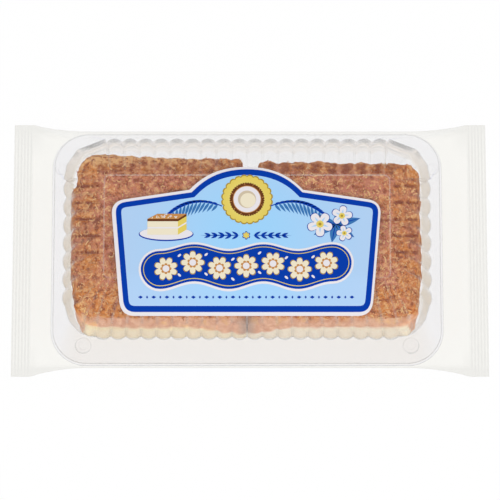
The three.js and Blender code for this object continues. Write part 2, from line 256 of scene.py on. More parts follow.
def grain_group() -> NodeTree:
    """The shared group for fine uneven grain.

    Returns:
        A group with a Scale and a Contrast that puts out a Mask around 0.5 and a Height.
    """
    tree = bpy.data.node_groups.get("Grain")
    if tree:
        return tree
    tree = bpy.data.node_groups.new("Grain", "ShaderNodeTree")
    for name, default in (("Scale", 400.0), ("Contrast", 1.0)):
        socket = tree.interface.new_socket(name, in_out="INPUT", socket_type="NodeSocketFloat")
        socket.default_value = default
    for name in ("Mask", "Height"):
        tree.interface.new_socket(name, in_out="OUTPUT", socket_type="NodeSocketFloat")
    net = Wiring(tree)
    given = net.add("NodeGroupInput").outputs
    place = net.place()
    coarse = net.add("TexNoise", {"Vector": place, "Scale": given["Scale"], "Detail": 3.0})
    pits = net.add("TexVoronoi", {"Vector": place, "Scale": given["Scale"]})
    mixed = net.math("MULTIPLY_ADD", pits.outputs["Distance"], 0.35, coarse.outputs[0])
    centred = net.math("SUBTRACT", coarse.outputs[0], 0.5)
    mask = net.math("MULTIPLY_ADD", centred, given["Contrast"], 0.5)
    bounded = net.add("Clamp", {0: mask})
    net.add("NodeGroupOutput", {"Mask": bounded.outputs[0], "Height": mixed})
    return tree


def grain(net: Wiring, scale: float, contrast: float = 1.0) -> bpy.types.bpy_prop_collection:
    """Places the grain group in a material.

    Args:
        net: The material's nodes.
        scale: How fine the grain is.
        contrast: How far its mask swings about 0.5.

    Returns:
        The group's outputs.
    """
    inputs = {"Scale": scale, "Contrast": contrast}
    return net.add("Group", inputs, node_tree=grain_group()).outputs


def new_material(name: str) -> tuple[Material, Wiring]:
    """Makes an empty node material.

    Args:
        name: The material's name.

    Returns:
        The material and its nodes.
    """
    material = bpy.data.materials.new(name)
    material.use_nodes = True
    material.node_tree.nodes.clear()
    return material, Wiring(material.node_tree)


@dataclass(frozen=True)
class ClearPlastic:
    """Clear plastic that shines more and darkens a little where it is seen edge on.

    The mesh may carry a painted glint, where it shines more, a painted shade, where it lets less through, and
    a painted warm reflection of the cake.

    Attributes:
        name: The material's name.
        tint: What one surface lets through, seen straight on.
        edge: What one surface lets through, seen along it.
        shine: How much one surface reflects, seen straight on.
        roughness: How soft its reflections are.
        ripple: The height of its faint waves, as a bump strength.
        waves: How close together those are.
        warm: What one surface lets through at a full painted warm reflection.
        shaded: What one surface lets through at a full shade.
        gleam: How much more it reflects at a full glint.
    """

    name: str
    tint: Colour
    edge: Colour
    shine: float
    roughness: float = 0.06
    ripple: float = 0.05
    waves: float = 60.0
    warm: Colour = (0.968, 0.94, 0.908)
    shaded: Colour = (0.45, 0.46, 0.46)
    gleam: float = 0.5

    def material(self) -> Material:
        """Builds the finish.

        Returns:
            The material.
        """
        material, net = new_material(self.name)
        waves = grain(net, scale=self.waves)
        bump = net.add("Bump", {"Strength": self.ripple, "Distance": 1 * MM, "Height": waves["Height"]})
        facing = net.add("LayerWeight", {"Blend": 0.5}).outputs["Facing"]
        rise = net.math("POWER", facing, 5.0)
        reflected = net.math("MULTIPLY_ADD", rise, 1 - self.shine, self.shine)
        shining = net.math("MULTIPLY_ADD", net.attribute("glint"), self.gleam, reflected)
        edge_on = net.math("POWER", facing, 3.0)
        cool = net.blend(edge_on, (*self.tint, 1), (*self.edge, 1))
        plain = net.blend(net.attribute("warmth"), cool, (*self.warm, 1))
        through = net.blend(net.attribute("shade"), plain, (*self.shaded, 1))
        clear = net.add("BsdfTransparent", {"Color": through})
        gloss = net.add("BsdfPrincipled", {
            "Base Color": (1, 1, 1, 1),
            "Metallic": 0.8,
            "Roughness": self.roughness,
            "Normal": bump.outputs[0],
        })
        mixed = net.add("MixShader", {0: shining, 1: clear.outputs[0], 2: gloss.outputs[0]})
        net.add("OutputMaterial", {"Surface": mixed.outputs[0]})
        return material


@dataclass(frozen=True)
class BakedCake:
    """Sponge under a brown crust. The mesh says where it is crust and where the lid has pressed it.

    Attributes:
        name: The material's name.
        dark: The darkest browned crumb.
        gold: The crust where it is golden.
        rose: The crust where it is paler and pinker.
        pale: The flecks of pale coconut in it.
        side: The thin skin of the slab's sides.
        seam: The painted shade on that skin where the two slabs meet.
        yolk: The bare sponge next to the skin.
        crumb: The bare sponge further down.
        scales: How fine its patches, its spots and its flecks are.
    """

    name: str
    dark: Colour
    gold: Colour
    rose: Colour
    pale: Colour
    side: Colour
    seam: Colour
    yolk: Colour
    crumb: Colour
    scales: Triple = (110.0, 300.0, 800.0)

    def material(self) -> Material:
        """Builds the finish.

        Returns:
            The material.
        """
        material, net = new_material(self.name)
        patches, spots, fine = (
            grain(net, scale, contrast) for scale, contrast in zip(self.scales, (3.2, 3.2, 3.0))
        )
        rosy = net.math("MULTIPLY_ADD", net.attribute("rosy"), 0.8, patches["Mask"])
        share = net.math("SUBTRACT", rosy, 0.3)
        toasted = net.times(net.ramp(spots["Mask"], 0.46, 0.0), 0.85)
        bleached = net.times(net.ramp(spots["Mask"], 0.62, 1.0), 0.5)
        fewer = net.math("MULTIPLY_ADD", net.attribute("rosy"), -0.35, 0.6)
        flecks = net.times(net.ramp(fine["Mask"], 0.72, 1.0), fewer)
        gilt = net.times(net.attribute("gilt"), net.ramp(spots["Mask"], 0.15, 0.75))
        groove = net.times(net.attribute("pressed"), net.ramp(spots["Mask"], 1.4, 0.25))
        crust = net.coat(linear(self.gold), (
            (share, self.rose), (toasted, self.dark), (bleached, self.pale), (flecks, self.pale),
            (gilt, self.pale), (groove, self.dark),
        ))
        specks = net.times(fine["Mask"], 0.25)
        crumb = net.coat(linear(self.crumb), (
            (net.attribute("warm"), self.yolk), (specks, self.side),
        ))
        mottled = net.times(spots["Mask"], 0.5)
        lit = net.times(net.ramp(patches["Mask"], 0.6, 1.0), 0.55)
        # The skin is pinker in spots, paler in patches and darkened by painted shade where the two slabs meet.
        skin = net.coat(linear(self.side), (
            (mottled, self.rose), (lit, self.pale), (net.attribute("seam"), self.seam),
        ))
        sponge = net.blend(net.attribute("skin"), crumb, skin)
        colour = net.blend(net.attribute("crust"), sponge, crust)
        height = net.math("ADD", fine["Height"], spots["Height"])
        bump = net.add("Bump", {"Strength": 0.6, "Distance": 0.6 * MM, "Height": height})
        roughness = net.math("MULTIPLY_ADD", patches["Mask"], 0.2, 0.6)
        cake = net.add("BsdfPrincipled", {
            "Base Color": colour,
            "Roughness": roughness,
            "Specular IOR Level": 0.25,
            "Normal": bump.outputs[0],
        })
        net.add("OutputMaterial", {"Surface": cake.outputs[0]})
        return material


@dataclass(frozen=True)
class ToastedCoconut:
    """Coconut shreds from pale to toasted, by a value that each shred carries.

    Attributes:
        name: The material's name.
        pale: The least toasted shreds.
        toasted: The most toasted ones.
    """

    name: str
    pale: Colour
    toasted: Colour

    def material(self) -> Material:
        """Builds the finish.

        Returns:
            The material.
        """
        material, net = new_material(self.name)
        fibres = grain(net, scale=1500.0, contrast=1.2)
        toast = net.math("MULTIPLY_ADD", fibres["Mask"], 0.3, net.attribute("toast"))
        share = net.math("SUBTRACT", toast, 0.15)
        colour = net.blend(share, linear(self.pale), linear(self.toasted))
        bump = net.add("Bump", {"Strength": 0.3, "Distance": 0.1 * MM, "Height": fibres["Height"]})
        shred = net.add("BsdfPrincipled", {
            "Base Color": colour,
            "Roughness": 0.5,
            "Specular IOR Level": 0.35,
            "Normal": bump.outputs[0],
        })
        net.add("OutputMaterial", {"Surface": shred.outputs[0]})
        return material


@dataclass(frozen=True)
class PrintInk:
    """One printed colour under a matt varnish, a touch thinner where the paper's grain is high.

    Attributes:
        name: The material's name.
        colour: The ink's screen colour.
        heart: The screen colour of its lighter heart, if it has one.
        middle: Where that lies.
        reach: How far it spreads.
    """

    name: str
    colour: Colour
    heart: Colour | None = None
    middle: Point = (0.0, 0.0)
    reach: float = 1.0

    def material(self) -> Material:
        """Builds the finish.

        Returns:
            The material.
        """
        material, net = new_material(self.name)
        paper = grain(net, scale=700.0, contrast=0.5)
        full = linear(self.colour)
        thin = tuple(lerp(part, 1.0, 0.004) for part in full[:3])
        colour = net.blend(paper["Mask"], full, (*thin, 1.0))
        if self.heart:
            flat = net.add("VectorMath", {0: net.place(), 1: (1, 1, 0)}, operation="MULTIPLY").outputs[0]
            away = net.add("VectorMath", {0: flat, 1: (*self.middle, 0)}, operation="DISTANCE")
            near = net.ramp(away.outputs["Value"], self.reach, 0.0)
            colour = net.blend(near, colour, linear(self.heart))
        bump = net.add("Bump", {"Strength": 0.05, "Distance": 0.05 * MM, "Height": paper["Height"]})
        ink = net.add("BsdfPrincipled", {
            "Base Color": colour,
            "Roughness": 0.5,
            "Specular IOR Level": 0.02,
            "Normal": bump.outputs[0],
        })
        net.add("OutputMaterial", {"Surface": ink.outputs[0]})
        return material


def finish_piece(
    name: str, mesh: Mesh, materials: Sequence[Material], node: str | None = None
) -> None:
    """Puts a mesh in the scene as a dressed piece that rides on the pack.

    Args:
        name: The piece's name.
        mesh: Its mesh, already in place.
        materials: Its materials, in the order that its faces use.
        node: The solid that it stands for, if any.
    """
    for material in materials:
        mesh.materials.append(material)
    piece = bpy.data.objects.new(name, mesh)
    bpy.context.scene.collection.objects.link(piece)
    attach(piece, BODY)
    if node:
        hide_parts(node)
    mesh.calc_loop_triangles()
    LOG.info("%s: %d triangles", name, len(mesh.loop_triangles))


def mesh_from(bm: BMesh, name: str, smooth: bool = True, crease: float | None = None) -> Mesh:
    """Turns a finished bmesh into a mesh and frees it.

    Args:
        bm: The bmesh.
        name: The mesh's name.
        smooth: Whether its faces are shaded as one curved surface.
        crease: The angle in degrees from which an edge stays sharp, if any.

    Returns:
        The mesh.
    """
    for face in bm.faces:
        face.smooth = smooth
    mesh = bpy.data.meshes.new(name)
    bm.to_mesh(mesh)
    bm.free()
    if crease is not None:
        mesh.set_sharp_from_angle(angle=math.radians(crease))
    return mesh


def set_marks(mesh: Mesh, marks: dict[str, Array]) -> None:
    """Writes values on a mesh's points.

    Args:
        mesh: The mesh.
        marks: The values, one for each point, under their names.
    """
    for name, values in marks.items():
        layer = mesh.attributes.get(name) or mesh.attributes.new(name, "FLOAT", "POINT")
        layer.data.foreach_set("value", values.astype(np.float32))


def shell(rows: Array, marks: dict[str, Array]) -> BMesh:
    """A closed shell over rows of points, made by bending a flat grid.

    Args:
        rows: Rows of equally many points, each closed on itself, from a pole at the middle of one
            face to a pole at the middle of the other, or round to the first row again.
        marks: Values for each point, under their names.

    Returns:
        The bent grid, with points that coincide merged and its faces outwards.
    """
    across = rows.shape[1]
    along = rows.shape[0] - 1
    bm = bmesh.new()
    layers = {name: bm.verts.layers.float.new(name) for name in marks}
    bmesh.ops.create_grid(bm, x_segments=across, y_segments=along, size=0.5)
    for vert in bm.verts:
        column = round((vert.co.x + 0.5) * across) % across
        row = round((vert.co.y + 0.5) * along)
        vert.co = rows[row][column]
        for name, layer in layers.items():
            vert[layer] = marks[name][row][column]
    bmesh.ops.remove_doubles(bm, verts=bm.verts, dist=SAME_POINT)
    if bm.calc_volume(signed=True) < 0:
        bmesh.ops.reverse_faces(bm, faces=bm.faces)
    return bm


@dataclass(frozen=True)
class Ring:
    """One level line round the clamshell: a rounded rectangle whose grooves are set in.

    Attributes:
        length: Its size along the pack.
        width: Its size across the pack.
        radius: The radius of its corners.
        z: Its height.
        y: How far its middle lies behind the flange's.
        flute: The depth of its grooves.
        glint: How much the edges of its grooves shine.
        edge: How much the whole line shines.
        shade: How much the whole line darkens what is seen through it.
        foot: How much painted shade its swells lay on that on the rear side.
        flank_shade: How much painted shade and painted warm reflection it lays on that at the pack's ends.
        groove: How much painted shade the edges of its grooves lay on that.
        warmth: How much painted warm reflection of the cake it carries on the front side.
        lean: How much tighter its front corners are than the radius, and how much wider its rear ones.
    """

    length: float
    width: float
    radius: float
    z: float
    y: float = 0.0
    flute: float = 0.0
    glint: float = 0.0
    edge: float = 0.0
    shade: float = 0.0
    foot: float = 0.0
    flank_shade: float = 0.0
    groove: float = 0.0
    warmth: float = 0.0
    lean: float = 0.0

    def corner(self, side: Array | int) -> Value:
        """The radius of the corner that a side ends in, by the side's number."""
        return self.radius + self.lean * np.where(np.isin(np.mod(side, 4), (1, 2)), 1, -1)

    def inset(self, distance: float, lift: float = 0.0, **marks: float) -> "Ring":
        """Draws the line in on every side.

        Args:
            distance: How far in.
            lift: How far up.
            marks: New values for its marks.

        Returns:
            The new line.
        """
        return replace(
            self,
            length=self.length - 2 * distance,
            width=self.width - 2 * distance,
            radius=max(self.radius - distance, 0.5 * MM),
            z=self.z + lift,
            **marks,
        )

    def towards(self, other: "Ring", share: float, lift: float = 0.0) -> "Ring":
        """The line at a share of the way to another, lifted."""
        mixed = Ring(*lerp(np.array(astuple(self)), np.array(astuple(other)), share))
        return replace(mixed, z=mixed.z + lift)


@dataclass
class Clamshell:
    """The clear fluted tray and lid.

    Attributes:
        wall: The sheet's thickness.
        solid_wall: The thickness of the sheet in the solid.
        dome_y: How far the dome lies behind the flange's middle, at its shoulder.
        foot_y: How much further behind its foot lies.
        flange_corner: The radius of the flange's corners.
        base_size: The length, width and corner radius of the dome's foot.
        shoulder_size: The same where the wall bends into the shoulder.
        panel_size: The same at the foot of the raised panel.
        lean: How much tighter the dome's front corners are, and how much wider its rear ones.
        shoulder_z: The height where the wall bends into the shoulder.
        panel_rise: How far the panel is raised over the shoulder.
        flutes: Flutes on the front, the right, the rear and the left side.
        steps: Places of the points over one flute, whose groove ends at the second.
        flute: How deep the grooves between flutes are.
        front_facets: Where the front corners' facets meet, from the long side to the short one, with
            how far the facet that ends there bulges and its edge stands out, in groove depths.
        rear_facets: The same for the rear corners.
        groove_shine: How much grooves shine at the pack's ends, rear and front.
        step_shine: The same for the panel's edge.
        flank_warmth: How much painted warm reflection goes with that side shading at the same places.
        tray_gap: How far the tray's flange lies under the lid's.
        crease: The angle in degrees from which an edge stays sharp.
        stud_line: A stud's section from rim to middle: shares of its radius and height, and the shade.
        stud_height: How far the press studs stand over the flange.
        studs: Each pair's place and radius in millimetres, and how strongly the painted shade on their rims
            shows.
    """

    wall: float = 0.35 * MM
    solid_wall: float = 0.6 * MM
    dome_y: float = 7.2 * MM
    foot_y: float = 0.3 * MM
    flange_corner: float = 23.5 * MM
    base_size: Triple = (237.4 * MM, 134 * MM, 24.4 * MM)
    shoulder_size: Triple = (224.4 * MM, 116.2 * MM, 20 * MM)
    panel_size: Triple = (183.4 * MM, 68.8 * MM, 4 * MM)
    lean: float = 3 * MM
    shoulder_z: float = 33.8 * MM
    panel_rise: float = 0.8 * MM
    flutes: tuple[int, int, int, int] = (20, 7, 18, 7)
    steps: tuple[float, ...] = (0, 0.045, 0.1, 0.18, 0.29, 0.43, 0.57, 0.71, 0.82, 0.9, 0.955)
    flute: float = 1.9 * MM
    front_facets: Triples = ((0, 0, 0), (0.325, -0.1, 0), (0.707, -0.2, -0.3), (1, -0.2, 0))
    rear_facets: Triples = ((0, 0, 1), (0.485, -1, 1), (0.76, -0.33, 1), (1, -0.25, 1))
    groove_shine: Triple = (0.15, 0.4, 0.6)
    step_shine: Triple = (0.5, 1, 0.3)
    flank_warmth: Triple = (12, 5, 0)
    tray_gap: float = 0.9 * MM
    crease: float = 28
    stud_line: Triples = (
        (1, 0.03, 0.3), (0.96, 0.5, 0.42), (0.9, 0.85, 0.2), (0.82, 1, 0), (0.62, 1, 0), (0.56, 0.9, 0.12),
        (0.52, 0.65, 0.2), (0.46, 0.6, 0), (0, 0.6, 0),
    )
    stud_height: float = 1.6 * MM
    studs: tuple[tuple[float, float, float, float], ...] = ((105, -63.6, 5.4, 0.38), (120.3, 54, 4, 0.15))

    def __post_init__(self) -> None:
        """Takes the overall sizes from the frame and sets out the main lines."""
        low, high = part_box("lid")
        self.x = (low.x + high.x) / 2
        self.flange_top = low.z + self.solid_wall
        self.panel_top = high.z
        top, fluted = self.flange_top, {"flute": self.flute, "lean": self.lean}
        self.flange = Ring(high.x - low.x, high.y - low.y, self.flange_corner, top, (low.y + high.y) / 2)
        self.base = Ring(*self.base_size, top, self.dome_y + self.foot_y, **fluted)
        self.shoulder = Ring(*self.shoulder_size, self.shoulder_z, self.dome_y, **fluted)
        self.panel = Ring(*self.panel_size, self.panel_top - self.panel_rise, self.dome_y)
        self.places = self.outline_places()

    def swell(self, share: Value) -> Value:
        """How far the wall swells over a flute, from a groove at 0 to the next groove at 1."""
        off = 2 * np.clip((share - self.steps[1]) / (1 - 2 * self.steps[1]), 0, 1) - 1
        return 1 - np.abs(off) ** 2.2

    def outline_places(self) -> Array:
        """Places round a ring.

        Returns:
            Rows of the side's number, the share along it, the share round its corner, the swell, 1 where
            a groove's edge lies, and 1 in the middle of a flute or facet.
        """
        rows = []
        lines = (self.steps[1], self.steps[-1])
        for side, count in enumerate(self.flutes):
            for flute in range(count):
                for step in self.steps:
                    swell = self.swell(step)
                    rows.append((side, (flute + step) / count, 0, swell, step in lines, swell))
            facets = self.front_facets if Side(side) in (Side.FRONT, Side.LEFT) else self.rear_facets
            spans = [(start[0], end[0], start[2], end[2], end[1]) for start, end in zip(facets, facets[1:])]
            if side % 2 == 1:
                spans = [
                    (1 - end, 1 - start, high, low, bulge) for start, end, low, high, bulge in spans[::-1]
                ]
            for start, end, low, high, bulge in spans:
                for step in self.steps:
                    swell = self.swell(step)
                    turn = lerp(start, end, step)
                    out = lerp(low, high, step) + bulge * swell if turn > 0 else 0.0
                    rows.append((side, 1, turn, out, step in lines, swell**0.35))
        return np.array(rows)

    def points(self, ring: Ring) -> Array:
        """Sets out one ring.

        Args:
            ring: The ring.

        Returns:
            Its points, all the way round.
        """
        side, along, turn, swell, _, _ = self.places.T
        lengthwise = side % 2 == 0
        run = np.where(lengthwise, ring.length, ring.width) / 2
        reach = np.where(lengthwise, ring.width, ring.length) / 2
        start, end = ring.corner(side - 1), ring.corner(side)
        out, on, round_ = (self.quarter(side), self.quarter(side + 1), self.quarter(side + turn))
        plan = (
            out * (reach - end)[:, None]
            + on * lerp(start - run, run - end, along)[:, None]
            + round_ * (end - ring.flute * (1 - swell))[:, None]
        )
        height = np.full(len(plan), ring.z)
        return np.column_stack((self.x + plan[:, 0], ring.y + plan[:, 1], height))

    def marks(self, ring: Ring) -> tuple[Array, Array, Array]:
        """Works out the painted highlight, painted shade and painted warm reflection of one ring.

        Args:
            ring: The ring.

        Returns:
            The painted glint, the painted shade and the painted warm reflection at each of its points.
        """
        side, _, turn, _, line, middle = self.places.T
        rearwards = self.quarter(side + turn)[:, 1]
        every = (self.groove_shine, self.step_shine, self.flank_warmth)
        grooves, steps, end_reflections = (self.by_side(rearwards, shares) for shares in every)
        glint = ring.glint * line * grooves + ring.edge * steps
        shade = ring.shade + ring.foot * middle * ramp(0.45, 0.95, rearwards)
        shade += ring.flank_shade * (1 - np.abs(rearwards)) + ring.groove * line
        warmth = ring.warmth * ramp(0.3, 0.95, -rearwards) + ring.flank_shade * end_reflections
        return np.clip(glint, 0, 1), np.clip(shade, 0, 1), warmth

    @staticmethod
    def by_side(rearwards: Array, shares: Triple) -> Array:
        """Blends shares for the pack's ends, rear and front by how far points face the rear."""
        end, rear, front = shares
        return lerp(end, np.where(rearwards > 0, rear, front), np.abs(rearwards))

    @staticmethod
    def quarter(turns: Array) -> Array:
        """Directions at numbers of quarter turns from the front."""
        angle = (turns - 1) * np.pi / 2
        return np.column_stack((np.cos(angle), np.sin(angle)))

    def slope(self, share: float) -> Ring:
        """Sets out a ring on the lid's crowned shoulder.

        Args:
            share: Its share of the way from the shoulder's edge to the panel's foot.

        Returns:
            The ring.
        """
        crown = 4 * share * (1 - share) * 0.8 * MM
        flat = self.shoulder.towards(self.panel, share, crown)
        flute = self.flute * float(ramp(1.0, 0.45, share))
        # Painted glint and painted shade on the grooves, and a faint painted shade at the rear.
        glint, groove = 0.34 * (1 - 0.5 * share), 0.12 * (1 - share)
        return replace(flat, flute=flute, glint=glint, foot=0.03, groove=groove)

    def lid_rings(self) -> list[Ring]:
        """Sets out the lid.

        Returns:
            Its lines from the flange's lip up to the middle of the panel.
        """
        # Lip lines: how far in and up, and the painted shade; the inner ones are also wider and carry a
        # painted warm reflection.
        outer_lip = ((0, -0.5, 0.14), (0.1, -0.1, 0.14), (0.3, 0, 0.06), (0.45, 0, 0))
        inner_lip = ((1.3, 0, 0), (1.5, 0.3, 0.28), (1.75, 0.35, 0.2), (2, 0.05, 0), (2.15, 0, 0))
        lip = []
        for inset, lift, shade in outer_lip + inner_lip:
            ring = self.flange.inset(inset * MM, lift * MM, shade=shade)
            if len(lip) >= len(outer_lip):
                ring = replace(ring, width=ring.width + 0.8 * MM, y=ring.y + 0.4 * MM, warmth=0.4)
            lip.append(ring)
        # The foot carries a painted warm reflection at the front, and painted shade all round that is
        # strongest at the rear.
        foot = [
            self.base.inset(-0.7 * MM, warmth=0.5),
            self.base.inset(-0.5 * MM, 0.02 * MM, foot=0.1),
            self.base.inset(-0.15 * MM, 0.4 * MM, shade=0.12, foot=0.5),
        ]
        # Wall lines: the share of the way up and the painted shade of the swells at the rear; each also gets a
        # painted glint on its grooves and painted shade at the ends and on the groove edges.
        wall_lines = ((0.1, 0.62), (0.28, 0.7), (0.4, 0.66), (0.5, 0.4), (0.58, 0.05), (0.75, 0), (0.9, 0))
        wall = []
        for share, dark in wall_lines:
            ring = self.base.towards(self.shoulder, share)
            wall.append(replace(ring, foot=dark, glint=0.5, shade=0.01, flank_shade=0.08, groove=0.04))
        slope = [self.slope(share) for share in (0.12, 0.25, 0.4, 0.55, 0.7, 0.82, 0.92, 0.98)]
        start, end = wall[-1], slope[0]
        bend = []
        # Bend lines: the share of the way and the painted shade at the rear, with a painted glint on the
        # grooves.
        for share, dark in ((0.25, 0), (0.5, 0), (0.75, 0.16)):
            low, high = start.towards(self.shoulder, share), self.shoulder.towards(end, share)
            bend.append(replace(low.towards(high, share), foot=dark, glint=0.45, groove=0.05))
        # Panel step lines: how far in and up, and the painted glint along the edge.
        steps = ((0, 0, 0), (0.15, 0.3, 0.4), (0.4, 0.65, 0.5), (0.8, 0.8, 0.3), (1.1, 0.8, 0), (2, 0.8, 0))
        panel = [self.panel.inset(inset * MM, lift * MM, edge=edge) for inset, lift, edge in steps]
        middle = replace(panel[-1], length=0, width=0, radius=0)
        return lip + foot + wall + bend + slope + panel + [middle]

    def tray_rings(self) -> list[Ring]:
        """Sets out the tray.

        Returns:
            Its lines from its flange down to the middle of its floor.
        """
        flange = replace(self.flange, z=self.flange_top - self.tray_gap)
        mouth = replace(self.base, z=flange.z)
        floor = replace(mouth.inset(4 * MM), z=4.2 * MM)
        # Painted shade on the lip and at the mouth; the wall gets a painted glint, and painted shade and warm
        # reflection at the ends.
        rings = [flange.inset(0.3 * MM, -0.5 * MM, shade=0.12)]
        rings += [flange.inset(0.5 * MM), flange.inset(2.15 * MM)]
        rings += [mouth.inset(-0.7 * MM), mouth.inset(-0.2 * MM, -0.3 * MM, shade=0.06)]
        wall = [mouth.towards(floor, share) for share in (0.12, 0.35, 0.6, 0.85, 1)]
        rings += [replace(ring, glint=0.12, flank_shade=0.08) for ring in wall]
        base = replace(floor.inset(2.2 * MM), z=1.6 * MM, flute=0.8 * MM)
        rings += [floor.towards(base, 0.55, -0.5 * MM), base]
        flat = replace(base.inset(2 * MM), z=1.3 * MM, flute=0)
        return rings + [flat, replace(flat, length=0, width=0, radius=0, lean=0)]

    def walled(self, rings: list[Ring]) -> BMesh:
        """Gives a sheet its thickness.

        Args:
            rings: The lines that its upper face runs over.

        Returns:
            The closed shell.
        """
        draw_in, drop = 0.6 * self.wall, -0.75 * self.wall
        under = [ring.inset(draw_in if ring.flute else 0, drop) for ring in reversed(rings)]
        every = under + rings
        values = (np.array(rows) for rows in zip(*(self.marks(ring) for ring in every)))
        marks = dict(zip(("glint", "shade", "warmth"), values))
        return shell(np.array([self.points(ring) for ring in every]), marks)

    def stud(self, x: float, y: float, radius: float, dark: float) -> BMesh:
        """One press stud as a thin spun cap on the flange.

        Args:
            x: Its place along the pack.
            y: Its place across the pack.
            radius: Its radius at the foot.
            dark: How strongly the painted shade on its rims shows.

        Returns:
            The closed cap, with its rims marked with a shade.
        """
        under = [(max(out - 0.04, 0), up - 0.12, shade) for out, up, shade in reversed(self.stud_line)]
        bm = bmesh.new()
        layer = bm.verts.layers.float.new("shade")
        verts = []
        for out, up, shade in (*self.stud_line, *under):
            height = self.stud_height * max(up, 0.01)
            verts.append(bm.verts.new((x + radius * out, y, self.flange_top + height)))
            verts[-1][layer] = dark * shade
        edges = [bm.edges.new(pair) for pair in zip(verts, verts[1:] + verts[:1])]
        turn = {"cent": (x, y, 0), "axis": (0, 0, 1), "angle": 2 * math.pi, "steps": 40}
        bmesh.ops.spin(bm, geom=verts + edges, use_merge=True, **turn)
        bmesh.ops.remove_doubles(bm, verts=bm.verts, dist=SAME_POINT)
        bmesh.ops.recalc_face_normals(bm, faces=bm.faces)
        # The painted shade on the rims is strongest on the side facing the front and away from the pack's
        # middle.
        towards = Vector((x - self.x, -abs(x - self.x))).normalized()
        for vert in bm.verts:
            facing = (vert.co.xy - Vector((x, y))).dot(towards) / radius
            vert[layer] *= lerp(0.35, 1.0, float(ramp(-0.2, 0.8, facing)))
        for face in bm.faces:
            face.material_index = 1
        return bm

    def build(self, lid_finish: Material, stud_finish: Material, tray_finish: Material) -> None:
        """Makes the lid with its studs, and the tray.

        Args:
            lid_finish: The lid's material.
            stud_finish: The studs' material.
            tray_finish: The tray's material.
        """
        lid = self.walled(self.lid_rings())
        for x, y, radius, dark in self.studs:
            for hand in Hand:
                stud = self.stud(self.x + hand.value * x * MM, y * MM, radius * MM, dark)
                lid.from_mesh(mesh_from(stud, "stud"))
        mesh = mesh_from(lid, "clear_lid", crease=self.crease)
        finish_piece("clear_lid", mesh, [lid_finish, stud_finish], "lid")
        mesh = mesh_from(self.walled(self.tray_rings()), "clear_tray", crease=self.crease)
        finish_piece("clear_tray", mesh, [tray_finish], "tray")

    def slope_under(self, x: Array, y: Array) -> tuple[Array, Array]:
        """Heights of the planes under the lid's shoulders at the grooves.

        Args:
            x: Places along the pack.
            y: Places across it.

        Returns:
            The height under the end shoulders and under the long ones.
        """
        heights = []
        for place, low, high in (
            (np.abs(x - self.x), self.shoulder.length / 2, self.panel.length / 2),
            (np.abs(y - self.dome_y), self.shoulder.width / 2, self.panel.width / 2),
        ):
            groove = low - self.flute
            share = (groove - place) / (groove - high)
            heights.append(lerp(self.shoulder.z, self.panel.z, share))
        return heights[0], heights[1]

    def flute_number(self, place: Array, share: Value, side: Side) -> Array:
        """The number of the flute at a place along a side, with the share of the way to the next.

        Args:
            place: Places along the side.
            share: Where on the shoulder, from the panel at 0 to its edge at 1 and on to the foot at 2.
            side: Which side.

        Returns:
            The flute numbers, from 0 where the first starts.
        """
        lengthwise = side in (Side.FRONT, Side.REAR)
        starts, ends = [], []
        for ring in (self.panel, self.shoulder, self.base):
            half = (ring.length if lengthwise else ring.width) / 2
            starts.append(ring.corner(side.value - 1) - half)
            ends.append(half - ring.corner(side.value))
        start, end = (np.interp(share, (0, 1, 2), places) for places in (starts, ends))
        middle = self.x if lengthwise else self.dome_y
        return self.flutes[side.value] * (place - middle - start) / (end - start)


@dataclass(frozen=True)
class SlabFit:
    """How one slab lies in the clamshell, measured from the clamshell's middle.

    Attributes:
        inner: How far out its inner face lies at the front and at the rear.
        outer: How far out its crust reaches.
        rear: Where its rear face lies at the inner and at the outer end.
        front_corner: The reach of its outer front corner along and across.
        rear_corner: The reach of its outer rear corner along and across.
        step: Where its outer face steps in towards the rear, and how far.
        taper: How steeply its outer face runs in towards the front, at the crust and lower down.
        gilt: How pale and golden its crust is towards the rear.
        rear_press: How strongly the lid's flutes press its rear edge, both deeper and darker.
        yolky: How yellow its bare sponge is.
    """

    inner: Pair
    outer: float
    rear: Pair
    front_corner: Pair
    rear_corner: Pair
    step: Pair
    taper: Pair
    gilt: float
    rear_press: float
    yolky: float


